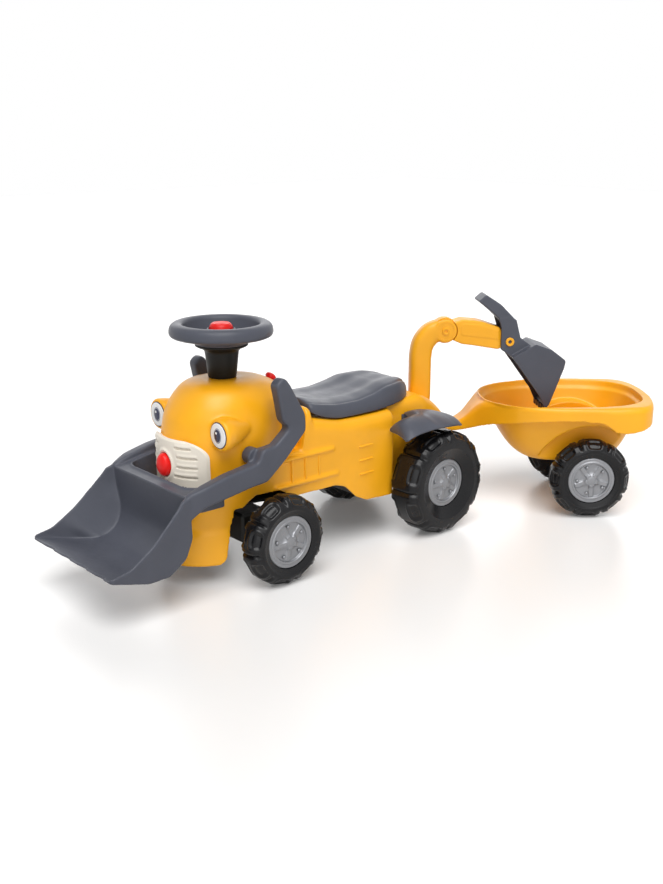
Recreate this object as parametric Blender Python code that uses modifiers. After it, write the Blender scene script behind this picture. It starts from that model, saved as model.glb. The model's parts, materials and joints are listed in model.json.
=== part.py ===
"""Ride-on backhoe tractor with a hitched trailer, one object for each moulded or metal piece.

Metres, +Z up. The tractor faces -Y, its left side is +X, and z = 0 is the floor. The model is laid
out with the middle of the front axle at x = 0, y = 0, and main() then stands the whole of it on the
middle of its own footprint.
"""

import bisect
import math

import bmesh
import bpy
from mathutils import Matrix, Vector

# Walls and clearances
GAP = 0.0003
RUN = 0.0008
WALL = 0.003

# Wheels: small ones on the front axle and the trailer, big ones at the back
SMALL_RADIUS = 0.0775
SMALL_WIDTH = 0.050
BIG_RADIUS = 0.0984
BIG_WIDTH = 0.068
WHEELBASE = 0.379
FRONT_OUT = 0.157
REAR_OUT = 0.162
LUGS = 8
LUG_DEPTH = 0.0035
CAP_RADIUS = 0.046
CAP_DEPTH = 0.011
SMALL_DISH = 0.003
BIG_DISH = 0.010
AXLE_RADIUS = 0.004

# Body: hood, pedestal and tail
SKIRT_Z = 0.034
HOOD_TOP = 0.339
HOOD_MIDDLE = -0.030
HOOD_POWER = 2.1
FLOOR_WALL = 0.0035
FLOOR_SET = 0.0025
SEAT_FRONT = 0.108
HINGE_Y = 0.120
HINGE_Z = 0.2755
HINGE_RADIUS = 0.0020
KNUCKLE_HALF = 0.030
PEDESTAL_HALF = 0.0935
TAIL_HALF = 0.066
MAST_BEHIND = 0.078
TOW_BEHIND = 0.055
TAIL_AHEAD = 0.079
TAIL_CLEAR = 0.0235
MAST_Y = WHEELBASE + MAST_BEHIND
TOW_Y = MAST_Y + TOW_BEHIND
TAIL_START = WHEELBASE - TAIL_AHEAD
TAIL_CUT = TOW_Y - TAIL_CLEAR
TAIL_END = TAIL_CUT + 0.0115
STORE_HALF = 0.052
STORE_FRONT = 0.165
STORE_BACK = 0.315
STORE_DEPTH = 0.095

# Steering
STEER_Y = -0.022
CARRIER_HALF = 0.072
RING_RADIUS = 0.0755
RING_TUBE = 0.0120
RING_Z = 0.4213
COLUMN_TOP = 0.397
COLUMN_RADIUS = 0.0285
COLUMN_FOOT = 0.0235
SHAFT_RADIUS = 0.007
HORN_RADIUS = 0.0205
HORN_RISE = 0.012
HUB_RADIUS = 0.0450
DASH_Y = 0.0785
DASH_Z = 0.3195
DASH_LEAN = 38.0
DASH_RADIUS = 0.0100
DASH_TRAVEL = 0.002
SPRING_TURNS = 3

# Face on the hood: plain round lamps and a grille
EYE_X = 0.0895
EYE_Y = -0.097
EYE_Z = 0.268
EYE_RADIUS = 0.0223
POD = ((0.0, EYE_X, 0.0272), (0.016, 0.0870, 0.0268), (0.045, 0.0810, 0.0190), (0.077, 0.0750, 0.0080))
GRILLE_OUT = 0.0085
GRILLE_LOW = 0.171
GRILLE_HIGH = 0.254
GRILLE_HALF = 0.0745
NOSE_Z = 0.208
NOSE_HALF = 0.0155
NOSE_TALL = 0.0195
NOSE_OUT = 0.008

# Front loader
LOADER_Y = -0.038
LOADER_Z = 0.225
ARM_IN = 0.106
ARM_OUT = 0.128
PLATE_FRONT = -0.1738
BUCKET_HALF = 0.127
BUCKET_WALL = 0.0035
BUCKET_BACK = 0.94
PIVOT_RADIUS = 0.005
PIVOT_BOSS = 0.012

# Excavator
MAST_YAW = 36.0
MAST_RADIUS = 0.0215
MAST_FOOT = 0.158
MAST_BEND = 0.318
ELBOW_S = 0.047
ELBOW_Z = 0.360
ELBOW_RADIUS = 0.0225
MAST_HALF = 0.0195
EYE_HALF = 0.0100
BOOM_HALF = 0.0185
BOOM_PIN = 0.005
DIG_S = 0.174
DIG_Z = 0.338
DIG_HALF = 0.040
CHEEK = 0.005
DIG_PIN = 0.004

# Trailer
TOW_YAW = 39.6
TOW_PIN = 0.0045
TOW_BASE = 0.150
TUB_AXLE = 0.290
TUB_OUT = 0.1385
RIM_Z = 0.2225
TUB_FLOOR = 0.098
ARCH_RADIUS = 0.103
ARCH_FACE = 0.0775
EAR_OUT = 0.066

# Colours: colour, roughness, metallic
YELLOW = ("yellow_plastic", (0.93, 0.53, 0.06), 0.38, 0.0)
SLATE = ("slate_plastic", (0.085, 0.095, 0.125), 0.42, 0.0)
BLACK = ("black_plastic", (0.012, 0.012, 0.014), 0.30, 0.0)
SILVER = ("silver_plastic", (0.36, 0.37, 0.40), 0.35, 0.4)
CREAM = ("cream_plastic", (0.82, 0.78, 0.72), 0.40, 0.0)
WHITE = ("white_plastic", (0.90, 0.90, 0.90), 0.30, 0.0)
NAVY = ("navy_plastic", (0.02, 0.025, 0.08), 0.25, 0.0)
RED = ("red_plastic", (0.75, 0.02, 0.03), 0.30, 0.0)
STEEL = ("plated_steel", (0.55, 0.56, 0.58), 0.30, 1.0)

SIDES = (("left", 1), ("right", -1))


class Shop:
    """The collections and materials that every piece shares."""

    parts = None
    cutters = None
    finishes = {}


def clear_scene():
    for item in list(bpy.data.objects):
        bpy.data.objects.remove(item, do_unlink=True)


def make_collections():
    Shop.parts = bpy.data.collections.new("ride_on_backhoe_tractor_with_trailer")
    Shop.cutters = bpy.data.collections.new("cutters")
    for group in (Shop.parts, Shop.cutters):
        bpy.context.scene.collection.children.link(group)


def finish(spec):
    name, colour, roughness, metallic = spec
    if name not in Shop.finishes:
        material = bpy.data.materials.new(name)
        material.use_nodes = True
        shader = material.node_tree.nodes["Principled BSDF"]
        shader.inputs["Base Color"].default_value = (*colour, 1.0)
        shader.inputs["Roughness"].default_value = roughness
        shader.inputs["Metallic"].default_value = metallic
        material.diffuse_color = (*colour, 1.0)
        Shop.finishes[name] = material
    return Shop.finishes[name]


def frame_at(name, parent=None, location=(0, 0, 0), yaw=0.0):
    """An empty that holds the pieces of one moving group, on its joint's axis."""
    empty = bpy.data.objects.new(name, None)
    Shop.parts.objects.link(empty)
    empty.parent = parent
    empty.location = location
    empty.rotation_euler = (0, 0, math.radians(yaw))
    empty.empty_display_size = 0.02
    return empty


def piece(name, mesh, spec, parent, location=(0, 0, 0), turn=(0, 0, 0)):
    """A visible piece with one material, in its parent's frame."""
    item = bpy.data.objects.new(name, mesh)
    Shop.parts.objects.link(item)
    item.parent = parent
    item.location = location
    item.rotation_euler = turn
    mesh.materials.clear()
    mesh.materials.append(finish(spec))
    mesh.shade_smooth()
    mesh.set_sharp_from_angle(angle=math.radians(35))
    return item


def helper(name, mesh, parent=None, location=(0, 0, 0), turn=(0, 0, 0)):
    """A shape that only cuts or joins another one."""
    item = bpy.data.objects.new(name, mesh)
    Shop.cutters.objects.link(item)
    item.parent = parent
    item.location = location
    item.rotation_euler = turn
    item.hide_render = True
    item.display_type = "WIRE"
    return item


def boolean(target, tool, operation="DIFFERENCE"):
    step = target.modifiers.new(operation.lower() + "_" + tool.name, "BOOLEAN")
    step.operation = operation
    step.object = tool
    step.solver = "EXACT"
    return step


def bevel(target, width, segments=2, angle=40):
    step = target.modifiers.new("rounded_edges", "BEVEL")
    step.width = width
    step.segments = segments
    step.limit_method = "ANGLE"
    step.angle_limit = math.radians(angle)
    step.use_clamp_overlap = True
    return step


def mesh_of(name, work):
    """A mesh from a bmesh, with every face pointing out."""
    bmesh.ops.recalc_face_normals(work, faces=work.faces)
    mesh = bpy.data.meshes.new(name)
    work.to_mesh(mesh)
    work.free()
    return mesh


def loft(name, rings):
    """A closed solid through rings of equal count, with a flat cap at each end."""
    work = bmesh.new()
    grid = [[work.verts.new(point) for point in ring] for ring in rings]
    count = len(rings[0])
    for low, high in zip(grid, grid[1:]):
        for i in range(count):
            j = (i + 1) % count
            work.faces.new((low[i], low[j], high[j], high[i]))
    work.faces.new(grid[0])
    work.faces.new(grid[-1])
    return mesh_of(name, work)


def ring_solid(name, sections):
    """A closed ring: sections all the way round, each a closed profile."""
    work = bmesh.new()
    grid = [[work.verts.new(point) for point in section] for section in sections]
    count = len(sections[0])
    for k, here in enumerate(grid):
        after = grid[(k + 1) % len(grid)]
        for i in range(count):
            j = (i + 1) % count
            work.faces.new((here[i], here[j], after[j], after[i]))
    return mesh_of(name, work)


def box_mesh(name, low, high):
    """A box between two corners."""
    work = bmesh.new()
    bmesh.ops.create_cube(work, size=1.0)
    size = Vector(high) - Vector(low)
    middle = (Vector(high) + Vector(low)) / 2
    bmesh.ops.scale(work, vec=size, verts=work.verts)
    bmesh.ops.translate(work, vec=middle, verts=work.verts)
    return mesh_of(name, work)


def rod_mesh(name, radius, length, sides=16):
    """A cylinder along Z, from z = 0 up to its length."""
    work = bmesh.new()
    bmesh.ops.create_cone(work, cap_ends=True, segments=sides, radius1=radius, radius2=radius, depth=length)
    bmesh.ops.translate(work, vec=(0, 0, length / 2), verts=work.verts)
    return mesh_of(name, work)


def turned_mesh(name, profile, steps=18, closed=False):
    """A turned mesh about Z from (radius, height) points, listed down its outer side."""
    mesh = bpy.data.meshes.new(name + "_profile")
    pairs = [(i, i + 1) for i in range(len(profile) - 1)]
    if closed:
        pairs.append((len(profile) - 1, 0))
    edges = [(i, j) for i, j in pairs if profile[i][0] > 0 or profile[j][0] > 0]
    mesh.from_pydata([(r, 0, z) for r, z in profile], edges, [])
    source = bpy.data.objects.new(name + "_profile", mesh)
    Shop.cutters.objects.link(source)
    screw = source.modifiers.new("turn", "SCREW")
    screw.axis = "Z"
    screw.steps = steps
    screw.render_steps = steps
    screw.use_merge_vertices = True
    screw.merge_threshold = 0.0001
    screw.use_smooth_shade = True
    depsgraph = bpy.context.evaluated_depsgraph_get()
    turned = bpy.data.meshes.new_from_object(source.evaluated_get(depsgraph))
    turned.name = name
    bpy.data.objects.remove(source, do_unlink=True)
    return turned


def rounded(points, radius, steps=3):
    """The outline with each corner turned into an arc, of its own radius where a point gives one."""
    outline = []
    count = len(points)
    for i, point in enumerate(points):
        here = Vector(point[:2])
        reach = point[2] if len(point) > 2 else radius
        back = Vector(points[i - 1][:2]) - here
        on = Vector(points[(i + 1) % count][:2]) - here
        angle = back.angle(on)
        if reach <= 0 or angle > math.radians(172):
            outline.append(here)
            continue
        cut = min(reach / math.tan(angle / 2), back.length * 0.45, on.length * 0.45)
        start = here + back.normalized() * cut
        end = here + on.normalized() * cut
        for k in range(steps + 1):
            t = k / steps
            outline.append(start.lerp(here, t).lerp(here.lerp(end, t), t))
    return outline


def slab_mesh(name, outline, thickness, lay):
    """A flat outline as a filled 2D curve with an extrude, laid by the matrix and made a mesh."""
    curve = bpy.data.curves.new(name, "CURVE")
    curve.dimensions = "2D"
    curve.fill_mode = "BOTH"
    curve.extrude = thickness / 2
    spline = curve.splines.new("POLY")
    spline.points.add(len(outline) - 1)
    for slot, point in zip(spline.points, outline):
        slot.co = (point[0], point[1], 0, 1)
    spline.use_cyclic_u = True
    source = bpy.data.objects.new(name, curve)
    Shop.cutters.objects.link(source)
    depsgraph = bpy.context.evaluated_depsgraph_get()
    mesh = bpy.data.meshes.new_from_object(source.evaluated_get(depsgraph))
    bpy.data.objects.remove(source, do_unlink=True)
    work = bmesh.new()
    work.from_mesh(mesh)
    bpy.data.meshes.remove(mesh)
    bmesh.ops.remove_doubles(work, verts=work.verts, dist=0.00001)
    bmesh.ops.transform(work, matrix=lay, verts=work.verts)
    return mesh_of(name, work)


def across(x):
    """Lays an outline of (y, z) points in the YZ plane, its middle at x."""
    return Matrix(((0, 0, 1, x), (1, 0, 0, 0), (0, 1, 0, 0), (0, 0, 0, 1)))


def level(z):
    """Lays an outline of (x, y) points flat, its middle at z."""
    return Matrix.Translation((0, 0, z))


def facing(y):
    """Lays an outline of (x, z) points in the XZ plane, its middle at y."""
    return Matrix(((1, 0, 0, 0), (0, 0, 1, y), (0, 1, 0, 0), (0, 0, 0, 1)))


def between(table, key):
    """The table's row at a key, straight between its rows."""
    keys = [row[0] for row in table]
    i = max(1, min(len(keys) - 1, bisect.bisect_left(keys, key)))
    low, high = table[i - 1], table[i]
    t = max(0.0, min(1.0, (key - low[0]) / (high[0] - low[0])))
    return [a + (b - a) * t for a, b in zip(low, high)]


def oval(half, front, back, z, count=28, power=HOOD_POWER, middle=HOOD_MIDDLE):
    """A level ring with its own reach to the front, the back and each side."""
    ring = []
    for i in range(count):
        turn = 2 * math.pi * i / count
        c, s = math.cos(turn), math.sin(turn)
        x = half * math.copysign(abs(c) ** (2 / power), c)
        reach = (back - middle) if s > 0 else (middle - front)
        y = middle + reach * math.copysign(abs(s) ** (2 / power), s)
        ring.append(Vector((x, y, z)))
    return ring


# Hood rings, bottom to top: height, half width, front, back
HOOD = (
    (SKIRT_Z, 0.0830, -0.1480, 0.060),
    (0.093, 0.0775, -0.1390, 0.060),
    (0.104, 0.0800, -0.1360, 0.060),
    (0.180, 0.0865, -0.1355, 0.080),
    (0.240, 0.0880, -0.1345, 0.099),
    (0.278, 0.0865, -0.1275, 0.102),
    (0.300, 0.0820, -0.1165, 0.096),
    (0.318, 0.0730, -0.1030, 0.081),
    (0.330, 0.0610, -0.0900, 0.060),
    (0.3365, 0.0470, -0.0760, 0.040),
    (HOOD_TOP, 0.0340, -0.0620, 0.020),
)

# Body sections, front to back: y, side half, shoulder z, top half, top z, and which way the wall lies
BODY = (
    (-0.055, 0.0760, 0.176, 0.067, 0.196, 0),
    (0.000, 0.0855, 0.192, 0.078, 0.205, 0),
    (0.080, 0.0890, 0.196, 0.081, 0.209, 1),
    (0.092, 0.0900, 0.236, 0.074, 0.2625, 1),
    (0.120, 0.0910, 0.233, 0.074, 0.2560, 0),
    (0.178, 0.0925, 0.221, 0.074, 0.2440, 0),
    (0.250, PEDESTAL_HALF, 0.216, 0.075, 0.2415, 0),
    (TAIL_START - 0.004, PEDESTAL_HALF, 0.216, 0.075, 0.2420, -1),
    (TAIL_START + 0.004, TAIL_HALF, 0.216, 0.056, 0.2450, -1),
    (TAIL_START + 0.050, TAIL_HALF, 0.216, 0.052, 0.2490, 0),
    (TAIL_START + 0.100, TAIL_HALF, 0.210, 0.048, 0.2480, 0),
    (MAST_Y - 0.027, 0.0640, 0.197, 0.040, 0.2370, 0),
    (MAST_Y - 0.002, 0.0610, 0.181, 0.034, 0.2210, 0),
    (MAST_Y + 0.021, 0.0560, 0.165, 0.030, 0.2010, 0),
    (TAIL_END, 0.0500, 0.150, 0.026, 0.1800, 0),
)

# Lower edge of the side walls, front to back: y, z
BAY_FRONT = -0.0745
LOWER_EDGE = (
    (BAY_FRONT, 0.1290, 0.004),
    (-0.0450, 0.1300, 0.010),
    (-0.0200, 0.1460, 0.010),
    (0.0300, 0.1460, 0.010),
    (0.0600, 0.1280, 0.010),
    (0.1530, 0.1280, 0.020),
    (0.1770, 0.1210, 0.020),
    (0.2050, 0.0950, 0.015),
    (0.2300, 0.0835, 0.015),
    (0.2890, 0.0800, 0.010),
    (MAST_Y - 0.0270, 0.0780, 0.020),
    (TAIL_CUT, 0.1310, 0.0),
    (TAIL_CUT, 0.1700, 0.0),
)


def hood_mesh(name, inset):
    """The upright front of the body, drawn in by the inset, which also deepens its open bottom."""
    rings = []
    for z, half, front, back in HOOD:
        rise = max(0.0, (z - 0.240) / (HOOD_TOP - 0.240))
        low = -0.02 if inset > 0 and z == SKIRT_Z else z
        rings.append(oval(half - inset, front + inset, back - inset, low - inset * rise))
    return loft(name, rings)


def body_section(y, side, shoulder, top, high, low):
    """One section: up the side, round the shoulder, over the top and down the other side."""
    half = [Vector((side, y, low)), Vector((side, y, shoulder))]
    for t in (0.35, 0.7, 1.0):
        a = Vector((side, y, shoulder)).lerp(Vector((side, y, high)), t)
        b = Vector((side, y, high)).lerp(Vector((top, y, high)), t)
        half.append(a.lerp(b, t))
    half.append(Vector((top * 0.5, y, high + 0.0015)))
    return half + [Vector((-p.x, p.y, p.z)) for p in reversed(half)]


def body_mesh(name, inset):
    """The lower body, the pedestal under the seat and the tail, drawn in by the inset."""
    low = 0.05 if inset == 0 else 0.0
    rings = []
    for y, side, shoulder, top, high, lean in BODY:
        place = y + inset * lean
        if y == TAIL_END:
            place = y - inset
        low_side, low_top = shoulder - inset * 0.5, top - inset * 0.6
        rings.append(body_section(place, side - inset, low_side, low_top, high - inset, low))
    return loft(name, rings)


def pod_mesh(name, sign):
    """The round housing behind a lamp, a cone that leans in and dies away into the hood."""
    rings = []
    for y, x, radius in POD:
        ring = []
        for k in range(18):
            turn = 2 * math.pi * k / 18
            right, up = radius * math.cos(turn), radius * math.sin(turn)
            ring.append(Vector((x * sign + right, EYE_Y + y, EYE_Z + up)))
        rings.append(ring)
    return loft(name, rings)


def eye_place(sign):
    """Where a lamp's face lies, its normal along local Z."""
    return Matrix.Translation((EYE_X * sign, EYE_Y, EYE_Z)) @ Matrix.Rotation(math.pi / 2, 4, "X")


def make_body(root):
    """The one-piece yellow shell: hood, ledges, pedestal and tail, open underneath."""
    shell = piece("body_shell", hood_mesh("body_shell", 0.0), YELLOW, root)
    boolean(shell, helper("body_solid", body_mesh("body_solid", 0.0), root), "UNION")
    for side, sign in SIDES:
        pod = pod_mesh("pod_" + side, sign)
        boolean(shell, helper("pod_" + side, pod, root), "UNION")
    for side, sign in SIDES:
        recess = rod_mesh("eye_recess", EYE_RADIUS + GAP, 0.040, 20)
        recess.transform(eye_place(sign) @ Matrix.Translation((0, 0, -0.003)))
        boolean(shell, helper("eye_recess_" + side, recess, root))
    boolean(shell, helper("hood_hollow", hood_mesh("hood_hollow", WALL), root))
    boolean(shell, helper("body_hollow", body_mesh("body_hollow", WALL), root))
    past = TAIL_CUT + 0.0715
    behind = [(past, LOWER_EDGE[-1][1], 0), (past, -0.05, 0), (BAY_FRONT, -0.05, 0)]
    outline = rounded(list(LOWER_EDGE) + behind, 0.0)
    boolean(shell, helper("bay_cut", slab_mesh("bay_cut", outline, 0.4, across(0)), root))
    store = box_mesh("store_cut", (-STORE_HALF, STORE_FRONT, 0.22), (STORE_HALF, STORE_BACK, 0.30))
    boolean(shell, helper("store_cut", store, root))
    for side, sign in SIDES:
        ends = sorted(((KNUCKLE_HALF + RUN) * sign, (KNUCKLE_HALF + 0.010) * sign))
        low, high = (ends[0], HINGE_Y - 0.004, 0.250), (ends[1], HINGE_Y + 0.005, HINGE_Z + 0.0035)
        boolean(shell, helper("hinge_post_" + side, box_mesh("hinge_post", low, high), root), "UNION")
    side_cut(shell, root, "hinge_hole", HINGE_RADIUS + GAP, HINGE_Y, HINGE_Z, 0.2)
    round_cut(shell, root, "shaft_hole", SHAFT_RADIUS + RUN, (0, STEER_Y, 0.30), 0.08)
    round_cut(shell, root, "mast_hole", MAST_RADIUS + RUN, (0, MAST_Y, 0.19), 0.10, sides=32)
    dash = frame_at("dash_axis", root, (0, DASH_Y, DASH_Z))
    dash.rotation_euler = (-math.radians(DASH_LEAN), 0, 0)
    round_cut(shell, dash, "dash_hole", DASH_RADIUS - 0.002 + RUN, (0, 0, -0.012), 0.03)
    make_dash_button(dash)
    side_cut(shell, root, "axle_hole", AXLE_RADIUS + RUN, WHEELBASE, BIG_RADIUS, 0.2)
    side_cut(shell, root, "pivot_hole", PIVOT_RADIUS + GAP, LOADER_Y, LOADER_Z, 0.3)
    return shell


def round_cut(target, root, name, radius, foot, length, sides=20):
    """An upright round hole."""
    boolean(target, helper(name, rod_mesh(name, radius, length, sides), root, foot))


def side_cut(target, root, name, radius, y, z, length, sides=20):
    """A round hole along X, through both sides."""
    tool = helper(name, rod_mesh(name, radius, length, sides), root, (-length / 2, y, z), (0, math.pi / 2, 0))
    boolean(target, tool)


def beside(line, distance):
    """A (y, z) line moved to its left by a distance, its corners kept sharp."""
    moved = []
    for i, point in enumerate(line):
        here = Vector(point)
        back = here - Vector(line[i - 1]) if i > 0 else None
        on = Vector(line[i + 1]) - here if i + 1 < len(line) else None
        back, on = (back or on).normalized(), (on or back).normalized()
        left = Vector((-back.y, back.x)) + Vector((-on.y, on.x))
        left /= left.length
        moved.append(here + left * distance / max(0.4, left.dot(Vector((-on.y, on.x)))))
    return moved


def make_floor(root):
    """The black floor that closes the shell from below, with the shaft's bearing and the tow tongue."""
    line = [(y, z) for y, z, _ in LOWER_EDGE if not -0.044 < y < 0.05]
    line[0] = (BAY_FRONT + GAP * 2, line[0][1])
    lower = beside(line, FLOOR_SET)
    upper = beside(line, FLOOR_SET + FLOOR_WALL)
    slab = slab_mesh("floor_pan", lower + upper[::-1], 0.3, across(0))
    floor = piece("floor_pan", slab, BLACK, root)
    cavity = helper("floor_space", hood_mesh("floor_space", WALL + GAP * 2), root)
    boolean(cavity, helper("floor_space_body", body_mesh("floor_space_body", WALL + GAP * 2), root), "UNION")
    boolean(floor, cavity, "INTERSECT")
    rib_half = between(HOOD, 0.098)[1] - 0.0100
    rib = box_mesh("front_rib", (-rib_half, BAY_FRONT + GAP * 3, 0.098), (rib_half, BAY_FRONT + 0.010, 0.134))
    boolean(floor, helper("front_rib", rib, root), "UNION")
    for side, sign in SIDES:
        sunk = beside(line, FLOOR_SET + FLOOR_WALL / 2)
        low = [point for point in sunk if MAST_Y - 0.037 < point[0] < TAIL_CUT]
        foot = [(low[0][0] + 0.008, low[0][1] + 0.008), tuple(low[1]), (low[1][0], MAST_FOOT - 0.0045)]
        foot.append((low[0][0] + 0.008, MAST_FOOT - 0.0045))
        web = slab_mesh("mast_web", foot, 0.004, across(0.014 * sign))
        boolean(floor, helper("mast_web_" + side, web, root), "UNION")
    start, end = MAST_Y + 0.015, TOW_Y + 0.018
    tongue = [(-0.024, start), (0.024, start), (0.022, end, 0.012), (-0.022, end, 0.012)]
    tongue_mesh = slab_mesh("tongue", rounded(tongue, 0.001, 5), 0.0050, level(0.1320))
    boolean(floor, helper("tongue", tongue_mesh, root), "UNION")
    boss = rod_mesh("tow_boss", 0.0170, TOW_BASE - 0.1315, 24)
    boolean(floor, helper("tow_boss", boss, root, (0, TOW_Y, 0.1315)), "UNION")
    bearing = rod_mesh("shaft_boss", 0.0150, 0.020, 24)
    boolean(floor, helper("shaft_boss", bearing, root, (0, STEER_Y, 0.124)), "UNION")
    round_cut(floor, root, "shaft_bore", SHAFT_RADIUS + GAP, (0, STEER_Y, 0.10), 0.06)
    round_cut(floor, root, "tow_bore", TOW_PIN + GAP, (0, TOW_Y, 0.11), 0.06)
    return floor


def make_grille(root):
    """The pale grille wrapped round the hood's front, its slots, and the red nose set in it."""
    rings = []
    inner = []
    levels = [row[0] for row in HOOD if GRILLE_LOW < row[0] < GRILLE_HIGH]
    for z in [GRILLE_LOW - 0.01] + levels + [GRILLE_HIGH + 0.012]:
        half, front, back = between(HOOD, z)[1:]
        rings.append(oval(half + GRILLE_OUT, front - GRILLE_OUT, back + GRILLE_OUT, z))
        inner.append(oval(half + GAP, front - GAP, back + GAP, z))
    for ring, lift in ((inner[0], -0.001), (inner[-1], 0.001)):
        for point in ring:
            point.z += lift
    grille = piece("front_grille", loft("front_grille", rings), CREAM, root)
    boolean(grille, helper("grille_back", loft("grille_back", inner), root))
    outline = (
        (-GRILLE_HALF, GRILLE_LOW, 0.012),
        (GRILLE_HALF, GRILLE_LOW, 0.012),
        (GRILLE_HALF - 0.001, GRILLE_HIGH - 0.012, 0.026),
        (0.038, GRILLE_HIGH, 0.030),
        (-0.038, GRILLE_HIGH, 0.030),
        (-GRILLE_HALF + 0.001, GRILLE_HIGH - 0.012, 0.026),
    )
    window = slab_mesh("grille_window", rounded(outline, 0.01, 4), 0.10, facing(-0.12))
    boolean(grille, helper("grille_window", window, root), "INTERSECT")
    for side, sign in SIDES:
        for k, z in enumerate((0.193, 0.209, 0.225, 0.241)):
            inner_x = 0.026 if k in (1, 2) else 0.022
            ends = sorted((inner_x * sign, (0.0605 if k < 3 else 0.0515) * sign))
            slot = box_mesh("slot", (ends[0], -0.20, z - 0.0016), (ends[1], -0.05, z + 0.0016))
            boolean(grille, helper("slot_%s_%d" % (side, k), slot, root))
    face = between(HOOD, NOSE_Z)[2] - GRILLE_OUT
    seat = helper("nose_seat", rod_mesh("nose_seat", 1.0, 0.030, 24), root, (0, face + 0.004, NOSE_Z))
    seat.data.transform(Matrix.Rotation(math.pi / 2, 4, "X") @ Matrix.Diagonal((0.0162, 0.0202, 1, 1)))
    boolean(grille, seat)
    profile = (
        (0.0, NOSE_OUT + 0.004),
        (0.45, NOSE_OUT + 0.0030),
        (0.80, NOSE_OUT - 0.0005),
        (1.0, 0.0030),
        (1.0, -0.0030),
        (0.0, -0.0030),
    )
    nose_mesh = turned_mesh("nose_button", profile, steps=24)
    nose_mesh.transform(Matrix.Rotation(math.pi / 2, 4, "X") @ Matrix.Diagonal((NOSE_HALF, NOSE_TALL, 1, 1)))
    piece("nose_button", nose_mesh, RED, root, (0, face, NOSE_Z))


def make_eyes(root):
    """A round lamp for each pod: a pale disc with a dark pupil in its middle."""
    for side, sign in SIDES:
        place = eye_place(sign)
        disc = turned_mesh(
            "eye_" + side,
            (
                (0.0125, 0.0012),
                (EYE_RADIUS - 0.002, 0.0004),
                (EYE_RADIUS, -0.0008),
                (EYE_RADIUS, -0.0027),
                (0.0, -0.0027),
                (0.0, -0.0010),
                (0.0125, -0.0010),
            ),
            steps=20,
            closed=True,
        )
        disc.transform(place)
        piece("eye_" + side, disc, WHITE, root)
        outline = ((0, 0.0018), (0.008, 0.0015), (0.0121, 0.0004), (0.0121, -0.0007), (0, -0.0007))
        pupil = turned_mesh("pupil_" + side, outline)
        pupil.transform(place)
        piece("pupil_" + side, pupil, NAVY, root)


# Seat sections, front to back: y, side half, hem z, shoulder z, crown z
SEAT = (
    (SEAT_FRONT, 0.066, 0.2785, 0.2845, 0.2875),
    (0.116, 0.0745, 0.2690, 0.2820, 0.2865),
    (0.140, 0.0785, 0.2580, 0.2760, 0.2800),
    (0.178, 0.0795, 0.2495, 0.2700, 0.2740),
    (0.220, 0.0795, 0.2465, 0.2695, 0.2730),
    (0.270, 0.0785, 0.2465, 0.2760, 0.2790),
    (0.315, 0.0740, 0.2485, 0.2845, 0.2875),
    (0.350, 0.0620, 0.2510, 0.2825, 0.2870),
    (0.378, 0.0430, 0.2530, 0.2730, 0.2785),
    (0.393, 0.0180, 0.2540, 0.2600, 0.2635),
)


def seat_section(y, side, hem, shoulder, crown, drop):
    half = [Vector((side, y, hem - drop)), Vector((side - 0.002, y, (hem + shoulder) / 2))]
    half += [Vector((side * 0.93, y, shoulder)), Vector((side * 0.70, y, (shoulder + crown) / 2 + 0.003))]
    half.append(Vector((side * 0.35, y, crown - 0.0015)))
    return half + [Vector((0, y, crown - 0.0005))] + [Vector((-p.x, p.y, p.z)) for p in reversed(half)]


def seat_mesh(name, inset):
    rings = []
    last = len(SEAT) - 1
    for k, (y, side, hem, shoulder, crown) in enumerate(SEAT):
        lean = 1 if k == 0 else -1 if k == last else 0
        drop = 0.03 if inset > 0 else 0.0
        width = max(side - inset, side * 0.6)
        rings.append(seat_section(y + inset * lean, width, hem, shoulder - inset, crown - inset, drop))
    return loft(name, rings)


def make_seat(root):
    """The hinged seat lid, its hinge pin, and the storage tray under it."""
    hinge = frame_at("seat_hinge_axis", root, (0, HINGE_Y, HINGE_Z))
    back = Matrix.Translation((0, -HINGE_Y, -HINGE_Z))
    lid_mesh = seat_mesh("seat_lid", 0.0)
    lid_mesh.transform(back)
    lid = piece("seat_lid", lid_mesh, SLATE, hinge)
    hollow = seat_mesh("seat_hollow", WALL)
    hollow.transform(back)
    boolean(lid, helper("seat_hollow", hollow, hinge))
    knuckle = box_mesh("seat_knuckle", (-KNUCKLE_HALF, -0.0060, -0.0055), (KNUCKLE_HALF, 0.0060, 0.0105))
    boolean(lid, helper("seat_knuckle", knuckle, hinge), "UNION")
    half = KNUCKLE_HALF + 0.010
    bore = rod_mesh("seat_bore", HINGE_RADIUS + GAP, KNUCKLE_HALF * 2 + 0.002)
    boolean(lid, helper("seat_bore", bore, hinge, (-KNUCKLE_HALF - 0.001, 0, 0), (0, math.pi / 2, 0)))
    pin = rod_mesh("seat_hinge_pin", HINGE_RADIUS, half * 2)
    piece("seat_hinge_pin", pin, STEEL, root, (-half, HINGE_Y, HINGE_Z), (0, math.pi / 2, 0))
    top = 0.2430
    half, front, rear = STORE_HALF - GAP, STORE_FRONT + GAP, STORE_BACK - GAP
    block = box_mesh("storage_tray", (-half, front, top - STORE_DEPTH), (half, rear, top))
    tray = piece("storage_tray", block, BLACK, root)
    hole = box_mesh(
        "tray_hollow",
        (-half + 0.0025, front + 0.0025, top - STORE_DEPTH + 0.0025),
        (half - 0.0025, rear - 0.0025, top + 0.02),
    )
    boolean(tray, helper("tray_hollow", hole, root))
    return tray


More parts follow.
